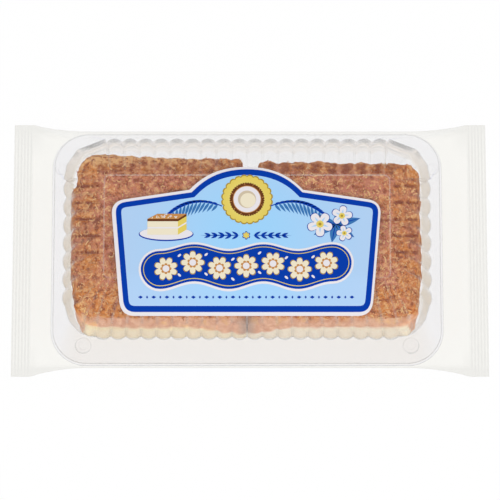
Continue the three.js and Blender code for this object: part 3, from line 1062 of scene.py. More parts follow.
@dataclass
class CakeSlab:
    """One slab of sponge with its craggy crust and the coconut on it.

    Attributes:
        hand: Which slab it is.
        fit: How it lies in the clamshell.
        case: The clamshell that it fills.
        cells: Faces along each side of the crust.
        front: Where the crust ends at the front.
        inner_corner: The reach of the corners next to the other slab.
        low_corner: The reach of the outer front corner below the crust.
        taper_start: Where the outer face starts to run in towards the front.
        lid_gap: How far its crust lies under the lid's grooves.
        edge_drop: How far the crust falls at its edge.
        end_lines: How far apart the lines pressed in the crust's end are, how steeply they slant to the
            rear, and how many lie each side of the middle one.
        seam: How far from the pack's middle the slab's lower part lies, where the two slabs meet.
        apart: How far from the rear face the two slabs stay apart, and from where they meet.
        sides: Heights down the sides, each with how far the outer face stands out from the crust's
            edge and where the front face lies, in millimetres.
        widest: The height where it is widest.
        flute_press: How far the lid's flutes press its end, its front and its rear, in millimetres.
        flute_depth: Heights in millimetres, each with the share of that press there.
        edges: How uneven its edges are: widths and heights in millimetres, and layers.
        crags: The same for its crust.
        brown: Heights where the crust ends on the sides and at the front, and how far the lid's front
            flutes draw it down.
        skin: Heights where the pink skin ends on the sides and at the front.
        sag: How far that sags at the front where the two slabs meet.
        line_width: The width of an end line, as a share of how far apart they are.
        seed: The start of its random draws.
    """

    hand: Hand
    fit: SlabFit
    case: Clamshell
    cells: int = 190
    front: float = -49.4 * MM
    inner_corner: Pair = (5 * MM, 5 * MM)
    low_corner: Pair = (15 * MM, 8.5 * MM)
    taper_start: float = -20 * MM
    lid_gap: float = 1.5 * MM
    edge_drop: float = 2.6 * MM
    end_lines: tuple[float, float, int] = (11 * MM, 0.27, 2)
    seam: float = 0.05 * MM
    apart: Pair = (7 * MM, 16 * MM)
    sides: Triples = (
        (26.8, 0.3, -52.6), (22, 0.8, -55.2), (15.4, 1.2, -58.7), (10, 0.2, -57.4), (6.9, -1.4, -55.8),
        (4, -3, -53.2), (1.9, -4.5, -51),
    )
    widest: float = 15.4 * MM
    flute_press: Triple = (0.9, 1.7, 1.4)
    flute_depth: Pairs = ((4, 0), (11, 1), (17, 1), (24, 0.3))
    edges: Triples = ((13, 1, 5), (4.5, 0.8, 9), (2, 0.5, 3))
    crags: Triples = ((10, 0.5, 0), (4.2, 0.5, 3), (1.9, 0.34, 6))
    brown: Triple = (15 * MM, 30.7 * MM, 1.3 * MM)
    skin: Pair = (8 * MM, 24.4 * MM)
    sag: float = 5.2 * MM
    line_width: float = 0.085
    seed: int = 5

    def __post_init__(self) -> None:
        """Takes the slab's floor from the frame."""
        self.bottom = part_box(self.hand.node)[0].z
        self.random = np.random.default_rng(self.seed + self.hand.value)

    @staticmethod
    def corner_cut(distance: Array, corner: Pair) -> Array:
        """How far a rounded corner draws a face in at distances from the face round the corner."""
        share = np.clip(1 - distance / corner[1], 0, 1)
        return corner[0] * (1 - np.sqrt(1 - share**2))

    def plan(
        self, u: Array, v: Array, stand_out: float, front: float, z: float | None = None
    ) -> tuple[Array, Array]:
        """Places on the slab's plan.

        Args:
            u: Shares from the inner face at -1 to the outer one at 1.
            v: Shares from the front at -1 to the rear at 1.
            stand_out: How far the outer face stands out from the crust's edge.
            front: Where the front face lies.
            z: The height, or nothing for the crust.

        Returns:
            The places along and across the pack.
        """
        along, across = (u + 1) / 2, (v + 1) / 2
        depth = lerp(*self.fit.rear, along) - front
        y = front + across * depth
        near, far = across * depth, (1 - across) * depth
        below = float(ramp(0, 6 * MM, self.front - front))
        fore_corner = lerp(np.array(self.fit.front_corner), np.array(self.low_corner), below)
        out_cut = self.corner_cut(near, fore_corner) + self.corner_cut(far, self.fit.rear_corner)
        out_cut += lerp(*self.fit.taper, below) * np.maximum(self.taper_start - y, 0)
        in_cut = self.corner_cut(near, self.inner_corner) + self.corner_cut(far, self.inner_corner)
        inner = lerp(*self.fit.inner, across) + in_cut
        met = ramp(*self.apart, far) * ramp(0.3, 0.0, along)
        closed = 0.0 if z is None else (inner - self.seam - 0.1 * in_cut) * met
        place, drawn = self.fit.step
        outer = self.fit.outer + stand_out - drawn * ramp(place - 2 * MM, place + 2 * MM, y)
        reach = lerp(inner, outer, along) - closed - out_cut * ramp(0.55, 1.0, along)
        return self.press(self.case.x + self.hand.value * reach, y, u, v, z)

    def press(self, x: Array, y: Array, u: Array, v: Array, z: float | None) -> tuple[Array, Array]:
        """Presses the slab's edges between the grooves of the lid, and makes them uneven.

        Args:
            x: Places along the pack.
            y: Places across it.
            u: Shares from the inner face to the outer one.
            v: Shares from the front to the rear.
            z: The height, or nothing for the crust.

        Returns:
            The moved places.
        """
        lid, press = self.case, self.flute_press
        down = 1.0 if z is None else float(np.interp(z, (self.widest, lid.shoulder.z), (2, 1)))
        heights, shares = np.array(self.flute_depth).T
        deep = shares[-1] if z is None else float(np.interp(z, heights * MM, shares))
        front, rear = (lid.swell(lid.flute_number(x, down, side) % 1) for side in (Side.FRONT, Side.REAR))
        across = lid.swell(lid.flute_number(y, down, Side.RIGHT) % 1)
        towards_end = ramp(0.9, 1.0, u)
        towards_front, towards_rear = ramp(-0.9, -1.0, v), ramp(0.9, 1.0, v)
        points = np.column_stack((x, y, np.full_like(x, z or 0.0)))
        uneven = layered(points, self.edges)
        end = towards_end * (press[0] * deep * (across - 1) + uneven) * MM
        fore = towards_front * (press[1] * deep * (front - 1) + 0.3 * uneven) * MM
        aft = towards_rear * (press[2] * self.fit.rear_press * (rear - 0.8) + 1.5 * uneven) * MM
        return x + self.hand.value * end, y - fore + aft

    def crust_height(self, x: Array, y: Array) -> Array:
        """Lays the crust softly under the lid's panel and shoulders, with its crags.

        Args:
            x: Places along the pack.
            y: Places across it.

        Returns:
            The crust's height there.
        """
        ends, longs = self.case.slope_under(x, y)
        soft = 1.5 * MM
        level = np.exp(-np.stack((np.full_like(x, self.case.panel.z), ends, longs)) / soft)
        smooth = -soft * np.log(level.sum(0)) - self.lid_gap
        crags = layered(np.column_stack((x, y)), self.crags)
        return smooth + (crags - 0.5 - 0.9 * self.pressed(x, y)) * MM

    def body(self) -> BMesh:
        """Bends a grid into the crust and draws the sides down from its edge.

        Returns:
            The slab.
        """
        bm = bmesh.new()
        bmesh.ops.create_grid(bm, x_segments=self.cells, y_segments=self.cells, size=1)
        layers = bm.verts.layers.float
        along, across = layers.new("u"), layers.new("v")
        for vert in bm.verts:
            vert[along], vert[across] = vert.co.x, vert.co.y
        self.lay(bm.verts[:], along, across, None)
        edges = [edge for edge in bm.edges if edge.is_boundary]
        for level in self.side_levels():
            grown = bmesh.ops.extrude_edge_only(bm, edges=edges)["geom"]
            edges = [part for part in grown if isinstance(part, BMEdge)]
            verts = [part for part in grown if isinstance(part, BMVert)]
            self.lay(verts, along, across, level)
        bmesh.ops.edgeloop_fill(bm, edges=edges)
        bmesh.ops.recalc_face_normals(bm, faces=bm.faces)
        return bm

    def side_levels(self) -> list[Triple]:
        """Spreads levels down the sides.

        Returns:
            Their heights, each with how far the outer face stands out and where the front lies.
        """
        heights = np.arange(self.sides[0][0], self.bottom / MM, -1.3)
        table = np.array(self.sides[::-1]).T
        levels = []
        for height in (*heights, self.bottom / MM):
            level = (height, np.interp(height, table[0], table[1]), np.interp(height, table[0], table[2]))
            levels.append(tuple(float(part) * MM for part in level))
        return levels

    def lay(
        self, verts: Sequence[BMVert], along: BMLayerItem, across: BMLayerItem, level: Triple | None
    ) -> None:
        """Puts points of the grid in place.

        Args:
            verts: The points.
            along: The layer that holds each point's share along the slab.
            across: The layer that holds its share across.
            level: One of the side levels, or nothing for the crust.
        """
        u = np.array([vert[along] for vert in verts])
        v = np.array([vert[across] for vert in verts])
        if level is None:
            x, y, z = self.crust_points(u, v)
        else:
            height, stand_out, front = level
            x, y = self.plan(u, v, stand_out, front, height)
            z = np.full_like(x, height)
        for vert, point in zip(verts, np.column_stack((x, y, z))):
            vert.co = point

    def crust_points(self, u: Array, v: Array) -> tuple[Array, Array, Array]:
        """Finds points on the crust.

        Args:
            u: Shares along the slab, from -1 to 1.
            v: Shares across it, from -1 to 1.

        Returns:
            Their places along and across the pack, and their heights.
        """
        x, y = self.plan(u, v, 0.0, self.front)
        edge = np.maximum(np.abs(u), np.abs(v))
        return x, y, self.crust_height(x, y) - self.edge_drop * ramp(0.94, 1.0, edge) ** 2

    def paint(self, mesh: Mesh) -> None:
        """Marks where the slab is crust, side skin or bare crumb, and where the lid pressed it.

        Args:
            mesh: The slab's mesh.
        """
        points = np.array([vert.co[:] for vert in mesh.vertices])
        x, y, z = points.T
        uneven = layered(points, ((7, 1.6, 4), (2.5, 0.8, 7))) * MM
        slow = rough(points * (1, 0, 0), 45 * MM, 2) * 2 * MM
        fore = ramp(self.front + 8 * MM, self.front + 3 * MM, y)
        away = np.abs(x - self.case.x)
        bare = fore * ramp(108 * MM, 102 * MM, away)
        sag = self.sag * ramp(34 * MM, 4 * MM, away)
        flute = self.case.swell(self.case.flute_number(x, 1.0, Side.FRONT) % 1)
        side_end, front_end, drawn = self.brown
        brown = lerp(side_end, front_end - drawn * flute, fore)
        skin = lerp(self.skin[0], self.skin[1] - sag, bare)
        ends, longs = self.case.slope_under(x, y)
        off, among = self.end_line(y, ends)
        # Pinker between the end lines, so the golden crust next to each line stands as a painted highlight.
        band = 0.5 * ramp(0.1, 0.26, off) * among * (ends < longs)
        behind = ramp(42.5 * MM, 40 * MM, longs) * (y > self.case.dome_y)
        set_marks(mesh, {
            # seam: painted shade on the skin where the two slabs meet.
            "seam": 0.8 * ramp(8 * MM, 1.5 * MM, away),
            "crust": ramp(-0.9 * MM, 0.9 * MM, z - brown + uneven),
            "skin": ramp(-0.6 * MM, 0.6 * MM, z - skin + 0.25 * uneven + slow),
            "rosy": np.maximum(ramp(42.5 * MM, 48 * MM, np.minimum(ends, longs)), band),
            "warm": self.fit.yolky * lerp(0.6, 1.0, ramp(20 * MM, 24 * MM, z)),
            "gilt": self.fit.gilt * behind * ramp(8 * MM, 36 * MM, away),
            "pressed": self.pressed(x, y) * ramp(28 * MM, 31 * MM, z),
        })

    def end_line(self, y: Array, ends: Array) -> tuple[Array, Array]:
        """Where places lie among the lines that the lid pressed in the slab's end.

        Args:
            y: Places across the pack.
            ends: The heights of the lid's end shoulder there.

        Returns:
            How far off the nearest line each is, as a share of their distance, and 1 among the lines.
        """
        apart, slant, each_side = self.end_lines
        fall = self.case.panel.z - ends
        number = (y - self.case.dome_y - slant * fall) / apart - 0.5
        among = ramp(each_side + 0.6, each_side + 0.3, np.abs(number))
        return np.abs(number - np.round(number)), among

    def pressed(self, x: Array, y: Array) -> Array:
        """Finds where the lid's flutes have pressed the crust.

        Args:
            x: Places along the pack.
            y: Places across it.

        Returns:
            How dark and deep it is pressed there, from 0 to 1.
        """
        ends, longs = self.case.slope_under(x, y)
        across = self.case.flute_number(x, 0.3, Side.REAR) % 1
        near_panel = ramp(46.5 * MM, 45 * MM, longs) * ramp(39.5 * MM, 42 * MM, longs)
        rear = near_panel * self.case.swell(across) * (y > self.case.dome_y) * self.fit.rear_press
        off, among = self.end_line(y, ends)
        line = np.clip(1.5 * np.exp(-((off / self.line_width) ** 2)), 0, 1)
        end = line * ramp(46.3 * MM, 44 * MM, ends) * among
        return np.where(ends < longs, end, rear)

    def build(self, cake_finish: Material, coconut_finish: Material) -> None:
        """Makes the slab and its coconut.

        Args:
            cake_finish: The slab's material.
            coconut_finish: The coconut's material.
        """
        name = f"{self.hand.name.lower()}_slab"
        mesh = mesh_from(self.body(), name)
        self.paint(mesh)
        finish_piece(name, mesh, [cake_finish], self.hand.node)
        topping = CoconutTopping(self, self.random).mesh(f"{self.hand.name.lower()}_coconut")
        finish_piece(topping.name, topping, [coconut_finish])


@dataclass
class CoconutTopping:
    """Desiccated coconut over a slab's crust: bent three-sided shreds and short crumbs, joined in one mesh.

    Attributes:
        slab: The slab that it lies on.
        random: The source of its random draws.
        count: How many pieces there are.
        long_share: The share of them that are long shreds.
        long: The shreds' shortest and longest length.
        short: The crumbs' shortest and longest length.
        width: Their narrowest and widest width.
        bend: How far a shred may bend, in radians.
        lean: How steeply it may lean.
        lift: How far under and over the crust it may lie, in millimetres.
        pale: The chance that a shred is pale, and the same for a crumb.
        toasts: How toasted the pale ones and the others are.
        rings: Sections along one shred.
    """

    slab: CakeSlab
    random: np.random.Generator
    count: int = 2800
    long_share: float = 0.28
    long: Pair = (2.0 * MM, 4.6 * MM)
    short: Pair = (0.8 * MM, 1.9 * MM)
    width: Pair = (0.4 * MM, 0.85 * MM)
    bend: float = 0.9
    lean: float = 0.18
    lift: Pair = (-0.15, 0.2)
    pale: Pair = (0.5, 0.34)
    toasts: Pair = (0.1, 0.8)
    rings: int = 4

    def places(self) -> tuple[Array, Array, Array]:
        """Random places on the crust.

        Returns:
            The points, and the surface's directions along and across the pack there.
        """
        u, v = self.random.uniform(-0.995, 0.995, (2, self.count))
        x, y, height = self.slab.crust_points(u, v)
        step = 1.2 * MM
        slope_x = (self.slab.crust_height(x + step, y) - self.slab.crust_height(x - step, y)) / (2 * step)
        slope_y = (self.slab.crust_height(x, y + step) - self.slab.crust_height(x, y - step)) / (2 * step)
        one, none = np.ones_like(x), np.zeros_like(x)
        along = np.column_stack((one, none, slope_x))
        across = np.column_stack((none, one, slope_y))
        return np.column_stack((x, y, height)), along, across

    def lengths(self) -> Array:
        """Draws random lengths.

        Returns:
            Mostly those of short crumbs, with long shreds among them.
        """
        chosen = self.random.uniform(size=self.count) < self.long_share
        long, short = (self.random.uniform(*span, self.count) for span in (self.long, self.short))
        return np.where(chosen, long, short)

    def mesh(self, name: str) -> Mesh:
        """Builds every shred as arrays and joins them.

        Args:
            name: The mesh's name.

        Returns:
            The mesh, with how toasted each shred is.
        """
        centre, along, across = self.places()
        length = self.lengths()
        least, most = (0, -self.bend, -self.lean), (np.pi, self.bend, self.lean)
        heading, bend, lean = self.random.uniform(least, most, (self.count, 3)).T
        width = self.random.uniform(*self.width, self.count)
        pressed = self.slab.pressed(centre[:, 0], centre[:, 1])
        lift = (self.random.uniform(*self.lift, self.count) - 0.7 * pressed) * MM
        normal = np.cross(along, across)
        normal /= np.linalg.norm(normal, axis=1)[:, None]
        rings = []
        for share in np.linspace(-1, 1, self.rings):
            turn = heading + bend * share
            forward = along * np.cos(turn)[:, None] + across * np.sin(turn)[:, None]
            sideways = along * -np.sin(turn)[:, None] + across * np.cos(turn)[:, None]
            rise = lift + lean * share * 0.5 * length + 0.15 * MM * (1 - share**2)
            middle = centre + forward * (share * length / 2)[:, None] + normal * rise[:, None]
            half = (width / 2 * (1 - 0.45 * share**2))[:, None]
            rings += [middle - sideways * half, middle + sideways * half, middle + normal * half * 0.8]
        points = np.stack(rings, axis=1).reshape(-1, 3)
        mesh = bpy.data.meshes.new(name)
        mesh.from_pydata(points.tolist(), [], self.faces())
        chance = np.where(length > self.short[1], *self.pale)
        drawn = np.where(self.random.uniform(size=self.count) < chance, *self.toasts)
        drift = 0.4 * rough(centre, 12 * MM, 1)
        # Shreds are drawn darker where the crust is pressed, as well as by how toasted they are.
        toast = drawn + drift + self.random.normal(0, 0.15, self.count) + 0.7 * pressed
        set_marks(mesh, {"toast": np.repeat(np.clip(toast, 0, 1), 3 * self.rings)})
        return mesh

    def faces(self) -> list[list[int]]:
        """Numbers the faces of every shred.

        Returns:
            The numbers of each face's points.
        """
        quads = []
        for ring in range(self.rings - 1):
            for corner in range(3):
                low, high = 3 * ring + corner, 3 * ring + (corner + 1) % 3
                quads.append([low, high, high + 3, low + 3])
        ends = [[2, 1, 0], [3 * self.rings - 3, 3 * self.rings - 2, 3 * self.rings - 1]]
        one = quads + ends
        size = 3 * self.rings
        return [[point + shred * size for point in face] for shred in range(self.count) for face in one]


@dataclass
class FilmWrap:
    """The clear film round the clamshell, crimped flat at both ends.

    Attributes:
        case: The clamshell that it wraps.
        width: Its width along the middle.
        seal: The length of each end seal.
        crimps: Ridges across each seal.
        crimp_height: How far the ridges rise and fall.
        slack: How far it lies over the lid.
        thickness: The film's thickness.
        past_panel: How far past the panel it keeps its full height.
        gap: Half the gap between its two layers in the seals.
        rounding: How far its creases are rounded from the floor up, in millimetres.
        trim: The largest share of a stretch that a rounding takes.
        even: How far from the middle its lines are evenly spread, in millimetres.
        loose: Where its loose ends start, and where they are loose in full.
        wrinkle: The height of the faint wrinkles there.
        crimp_shade: How dark the seals' ridges are.
        fold_shade: How dark the folds along its sides are.
    """

    case: Clamshell
    width: float = 158.8 * MM
    seal: float = 12.5 * MM
    crimps: int = 6
    crimp_height: float = 0.3 * MM
    slack: float = 1 * MM
    thickness: float = 0.06 * MM
    past_panel: float = 5 * MM
    gap: float = 0.16 * MM
    rounding: tuple[float, float, float, float] = (3, 1.2, 5, 5)
    trim: float = 0.42
    even: float = 90
    loose: Pair = (118 * MM, 132 * MM)
    wrinkle: float = 0.35 * MM
    crimp_shade: float = 0.032
    fold_shade: float = 0.04

    def __post_init__(self) -> None:
        """Takes the overall size from the frame."""
        low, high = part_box("film")
        self.half_length = (high.x - low.x) / 2
        self.seal_width = high.y - low.y
        self.seal_z = self.case.flange_top - 0.3 * MM
        self.inner = self.half_length - self.seal

    def creases(self, side: int) -> dict[str, Vector]:
        """Sets out the film's creases on one side.

        Args:
            side: 1 for the rear or -1 for the front.

        Returns:
            Each crease's place from the middle and its height above the seal.
        """
        case = self.case
        offset = side * case.dome_y
        shoulder_rise = case.shoulder.z + self.slack - self.seal_z
        panel_rise = case.panel_top + self.slack - self.seal_z
        return {
            "floor": Vector((offset + case.base.width / 2 - 4 * MM, -self.seal_z)),
            "edge": Vector((self.width / 2, 0)),
            "shoulder": Vector((offset + case.shoulder.width / 2 + self.slack, shoulder_rise)),
            "panel": Vector((offset + case.panel.width / 2 + self.slack, panel_rise)),
        }

    def shares(self, x: float) -> Triple:
        """Works out how far the film has closed towards its seals.

        Args:
            x: The place along the pack.

        Returns:
            The shares of its rise and its drop that it has there, and how much wider it is.
        """
        away = abs(x - self.case.x)
        end = self.inner - self.case.x * math.copysign(1, x)
        reaches = (
            self.case.panel.length / 2 + self.past_panel,
            self.case.base.length / 2 - 4 * MM,
            self.case.flange.length / 2 - self.case.flange.radius,
        )
        rise, drop, plain = (min(max((end - away) / (end - reach), 0), 1) for reach in reaches)
        flare = lerp(1, self.seal_width / self.width, (1 - plain) ** 2)
        return rise, drop, flare

    def corners(self, x: float) -> list[Vector]:
        """Finds the corners of the film's line across the pack.

        Args:
            x: The place along the pack.

        Returns:
            The corners, from below the rear edge over the top to below the front edge.
        """
        rise, drop, flare = self.shares(x)
        gap = self.gap
        line = []
        for side in (1, -1):
            crease = self.creases(side)
            shoulder, panel = crease["shoulder"], crease["panel"]
            spread_rise, spread_drop = max(rise, 0.06), max(drop, 0.06)
            half = [
                (lerp(crease["edge"].x, crease["floor"].x, spread_drop), crease["floor"].y * drop - gap),
                (crease["edge"].x, 0),
                (self.slope_at(crease, shoulder.y * spread_rise), shoulder.y * rise + gap),
                (self.slope_at(crease, panel.y * spread_rise), panel.y * rise + gap),
            ]
            shift = self.case.flange.y * (1 - (flare - 1) / (self.seal_width / self.width - 1))
            points = [Vector((side * flare * y + shift, self.seal_z + z)) for y, z in half]
            line += points if side == 1 else points[::-1]
        return line

    @staticmethod
    def slope_at(crease: dict[str, Vector], level: float) -> float:
        """Finds the film's slope.

        Args:
            crease: The creases on its side.
            level: A height above the seal.

        Returns:
            How far from the middle it lies there.
        """
        edge, shoulder, panel = crease["edge"], crease["shoulder"], crease["panel"]
        if level < shoulder.y:
            return lerp(edge.x, shoulder.x, level / shoulder.y)
        return lerp(shoulder.x, panel.x, (level - shoulder.y) / (panel.y - shoulder.y))

    def line(self, x: float, straight: int = 9, bend: int = 6) -> Array:
        """The film's closed line across the pack at x, with its creases rounded.

        Args:
            x: The place along the pack.
            straight: Points on each straight stretch.
            bend: Points on each rounded crease.

        Returns:
            Rows of places across the pack and heights.
        """
        corners = self.corners(x)
        count = len(corners)
        rounding = np.array((*self.rounding, *self.rounding[::-1])) * MM
        points = []
        for index, corner in enumerate(corners):
            before, after = corners[index - 1], corners[(index + 1) % count]
            trims = [min(rounding[index], self.trim * (corner - other).length) for other in (before, after)]
            start = corner + (before - corner).normalized() * trims[0]
            end = corner + (after - corner).normalized() * trims[1]
            for step in range(bend):
                share = step / (bend - 1)
                points.append(start.lerp(corner, share).lerp(corner.lerp(end, share), share))
            trim = min(rounding[(index + 1) % count], self.trim * (after - corner).length)
            stop = after + (corner - after).normalized() * trim
            points += [end.lerp(stop, step / straight) for step in range(1, straight)]
        return np.array([tuple(point) for point in points])

    def stations(self) -> list[float]:
        """Spreads lines along the film.

        Returns:
            Their places along the pack, closer together towards the seals.
        """
        middle = np.linspace(-self.even, self.even, 31) * MM
        wing = np.linspace(self.even * MM, self.inner, 34)[1:]
        seal = np.linspace(self.inner, self.half_length, 8 * self.crimps + 1)[1:]
        outer = np.concatenate((wing, seal))
        return [*(-outer[::-1]), *middle, *outer]

    def height_on_top(self, y: float) -> float:
        """Measures the film's upper face over the panel and shoulders.

        Args:
            y: The place across the pack.

        Returns:
            Its height there.
        """
        line = self.line(self.case.x)
        upper = line[line[:, 1] > self.seal_z + 1 * MM]
        order = np.argsort(upper[:, 0])
        return float(np.interp(y, upper[order, 0], upper[order, 1]))

    def wrinkles(self, x: float, y: Array) -> Array:
        """Wrinkles the film's loose ends.

        Args:
            x: The place along the pack.
            y: Places across it.

        Returns:
            How far the film is lifted there.
        """
        loose = ramp(*self.loose, abs(x)) * ramp(self.inner, self.inner - 5 * MM, abs(x))
        if loose == 0:
            return np.zeros_like(y)
        places = np.column_stack((np.full_like(y, x / 3), y))
        return loose * self.wrinkle * layered(places, ((9, 1, 4), (4, 0.5, 8)))

    def build(self, finish: Material) -> None:
        """Makes the film with its crimped seals.

        Args:
            finish: Its material.
        """
        outer, inner, shades = [], [], []
        for x in self.stations():
            line = self.line(x)
            into_seal = max(abs(x) - self.inner, 0) / self.seal
            wave = math.sin(2 * math.pi * self.crimps * into_seal)
            along = np.roll(line, -1, axis=0) - np.roll(line, 1, axis=0)
            inwards = np.column_stack((-along[:, 1], along[:, 0])) / np.linalg.norm(along, axis=1)[:, None]
            lift = self.crimp_height * wave + self.wrinkles(x, line[:, 0])
            for rows, face in ((outer, line), (inner, line + inwards * self.thickness)):
                rows.append(np.column_stack((np.full(len(face), x), face[:, 0], face[:, 1] + lift)))
            crimped = self.crimp_shade * (1 - 0.6 * wave) if into_seal > 0 else 0.0
            fold = ramp(self.width / 2 - 4 * MM, self.width / 2, np.abs(line[:, 0]))
            shades.append(np.maximum(crimped, self.fold_shade * fold))
        rows = np.array(outer + inner[::-1] + outer[:1])
        shade = np.array(shades + shades[::-1] + shades[:1])
        mesh = mesh_from(shell(rows, {"shade": shade}), "clear_film")
        finish_piece("clear_film", mesh, [finish], "film")


@dataclass
class PackLabel:
    """The printed paper label over the film: flat shapes in thin layers, folded over the lid's front edge.

    Attributes:
        film: What it is stuck to.
        foot: Half its width at the foot, and the foot's place.
        head: Half its width at the head, and the head's place.
        crest: Half the crest's width, its peak and its shoulder.
        corner: The radius of its corners.
        border: How far in the printed border starts and ends.
        crest_border: How much wider the border is over the crest's peak.
        shift: How far the print lies off the paper's middle.
        thickness: The thickness of its paper.
        step: How far each printed layer stands over the last.
        lift: How far the paper lies over the film.
        bends: Places round each of the film's creases where it bends, in millimetres.
    """

    film: FilmWrap
    foot: Point = (80 * MM, -49.1 * MM)
    head: Point = (86.4 * MM, 23.2 * MM)
    crest: Triple = (36.3 * MM, 46.6 * MM, 30.8 * MM)
    corner: float = 9 * MM
    border: Pair = (2.0 * MM, 5.5 * MM)
    crest_border: float = 0.9 * MM
    shift: Pair = (0.5 * MM, 0.2 * MM)
    thickness: float = 0.12 * MM
    step: float = 0.04 * MM
    lift: float = 0.05 * MM
    bends: tuple[float, ...] = (-5, -3.2, -1.6, 0, 1.6, 3.2, 5)

    def __post_init__(self) -> None:
        """Starts an empty mesh and measures the film under the label."""
        self.bm = bmesh.new()
        low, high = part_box("label")
        self.x = (low.x + high.x) / 2
        self.rows = np.linspace(self.foot[1] - 1 * MM, self.crest[1] + 1 * MM, 240)
        self.heights = np.array([self.film.height_on_top(y) for y in self.rows])

    def outline(self) -> list[Point]:
        """Sets out the paper.

        Returns:
            Its outline, as points from its middle, counterclockwise from the foot.
        """
        (foot, bottom), (head, top), (crest, peak, shoulder) = self.foot, self.head, self.crest
        corner = self.corner
        lean = (head - foot) * corner / (top - bottom)
        rise = (shoulder - top) * corner / (head - crest)
        right = self.curve((foot - corner, bottom), (foot, bottom), (foot + lean, bottom + corner))
        right += self.curve((head - lean, top - corner), (head, top), (head - corner, top + rise))
        right += self.curve((crest, shoulder), (0.6 * crest, peak), (0, peak))
        left = [(-x, y) for x, y in reversed(right[:-1])]
        return right + left

    @staticmethod
    def drawn_in(points: Sequence[Point], distance: float) -> list[Point]:
        """An outline drawn in by a distance, its corners kept.

        Args:
            points: The outline, counterclockwise.
            distance: How far each of its edges moves inwards.

        Returns:
            The new outline.
        """
        rows = np.array(points)
        edges = np.roll(rows, -1, axis=0) - rows
        ahead = np.column_stack((-edges[:, 1], edges[:, 0])) / np.linalg.norm(edges, axis=1)[:, None]
        mitre = ahead + np.roll(ahead, 1, axis=0)
        moved = rows + mitre * (2 * distance / (mitre**2).sum(1))[:, None]
        return [tuple(point) for point in moved]

    @staticmethod
    def curve(start: Point, pull: Point, end: Point, count: int = 13) -> list[Point]:
        """Draws a curve.

        Args:
            start: Where it starts.
            pull: What it leaves towards and comes in from.
            end: Where it ends.
            count: How many points it has.

        Returns:
            Its points.
        """
        share = np.linspace(0, 1, count)[:, None]
        ends = np.array((start, pull, end))
        low, high = lerp(ends[0], ends[1], share), lerp(ends[1], ends[2], share)
        return [tuple(point) for point in lerp(low, high, share)]

    def shape(self, points: Sequence[Point], layer: Layer, ink: Ink) -> None:
        """Adds one flat shape as a thin closed slab on its layer.

        Args:
            points: Its outline, from the label's middle.
            layer: The layer that it is printed on.
            ink: Its ink.
        """
        bm = bmesh.new()
        low = self.thickness * (layer is not Layer.PAPER) + self.step * layer.value
        face = bm.faces.new([bm.verts.new((self.x + x, y, low)) for x, y in points])
        face.material_index = ink.number
        bmesh.ops.remove_doubles(bm, verts=bm.verts, dist=0.005 * MM)
        near, far = min(y for _, y in points), max(y for _, y in points)
        for y in self.folds():
            if near < y < far:
                geom = bm.verts[:] + bm.edges[:] + bm.faces[:]
                bmesh.ops.bisect_plane(bm, geom=geom, plane_co=(0, y, 0), plane_no=(0, 1, 0), dist=0.001 * MM)
        raised = bmesh.ops.extrude_face_region(bm, geom=bm.faces[:])["geom"]
        rise = self.thickness if layer is Layer.PAPER else self.step / 2
        tops = [part for part in raised if isinstance(part, BMVert)]
        bmesh.ops.translate(bm, verts=tops, vec=(0, 0, rise))
        bmesh.ops.recalc_face_normals(bm, faces=bm.faces)
        for vert in bm.verts:
            vert.co.z += float(np.interp(vert.co.y, self.rows, self.heights)) + self.lift
        self.bm.from_mesh(mesh_from(bm, "print", smooth=False))

    def folds(self) -> list[float]:
        """Finds where the label bends over the lid's edges.

        Returns:
            The places across the pack.
        """
        places = []
        for side in (1, -1):
            creases = self.film.creases(side)
            places += [creases[name].x * side for name in ("panel", "shoulder")]
        return [place + step * MM for place in places for step in self.bends]

    def build(self, inks: Sequence[Material]) -> None:
        """Makes the label with its border and print.

        Args:
            inks: The material of each ink, in their order.
        """
        paper = self.outline()
        printed = [(x + self.shift[0], y + self.shift[1]) for x, y in paper]
        self.shape(paper, Layer.PAPER, Ink.WHITE)
        self.shape(self.drawn_in(printed, self.border[0]), Layer.BORDER, Ink.NAVY)
        field = []
        for x, y in self.drawn_in(printed, self.border[1]):
            field.append((x, y - self.crest_border * float(ramp(self.crest[2], self.crest[1], y))))
        self.shape(field, Layer.FIELD, Ink.SKY)
        LabelArt(self).draw()
        finish_piece("label_print", mesh_from(self.bm, "label_print", smooth=False), inks, "label")


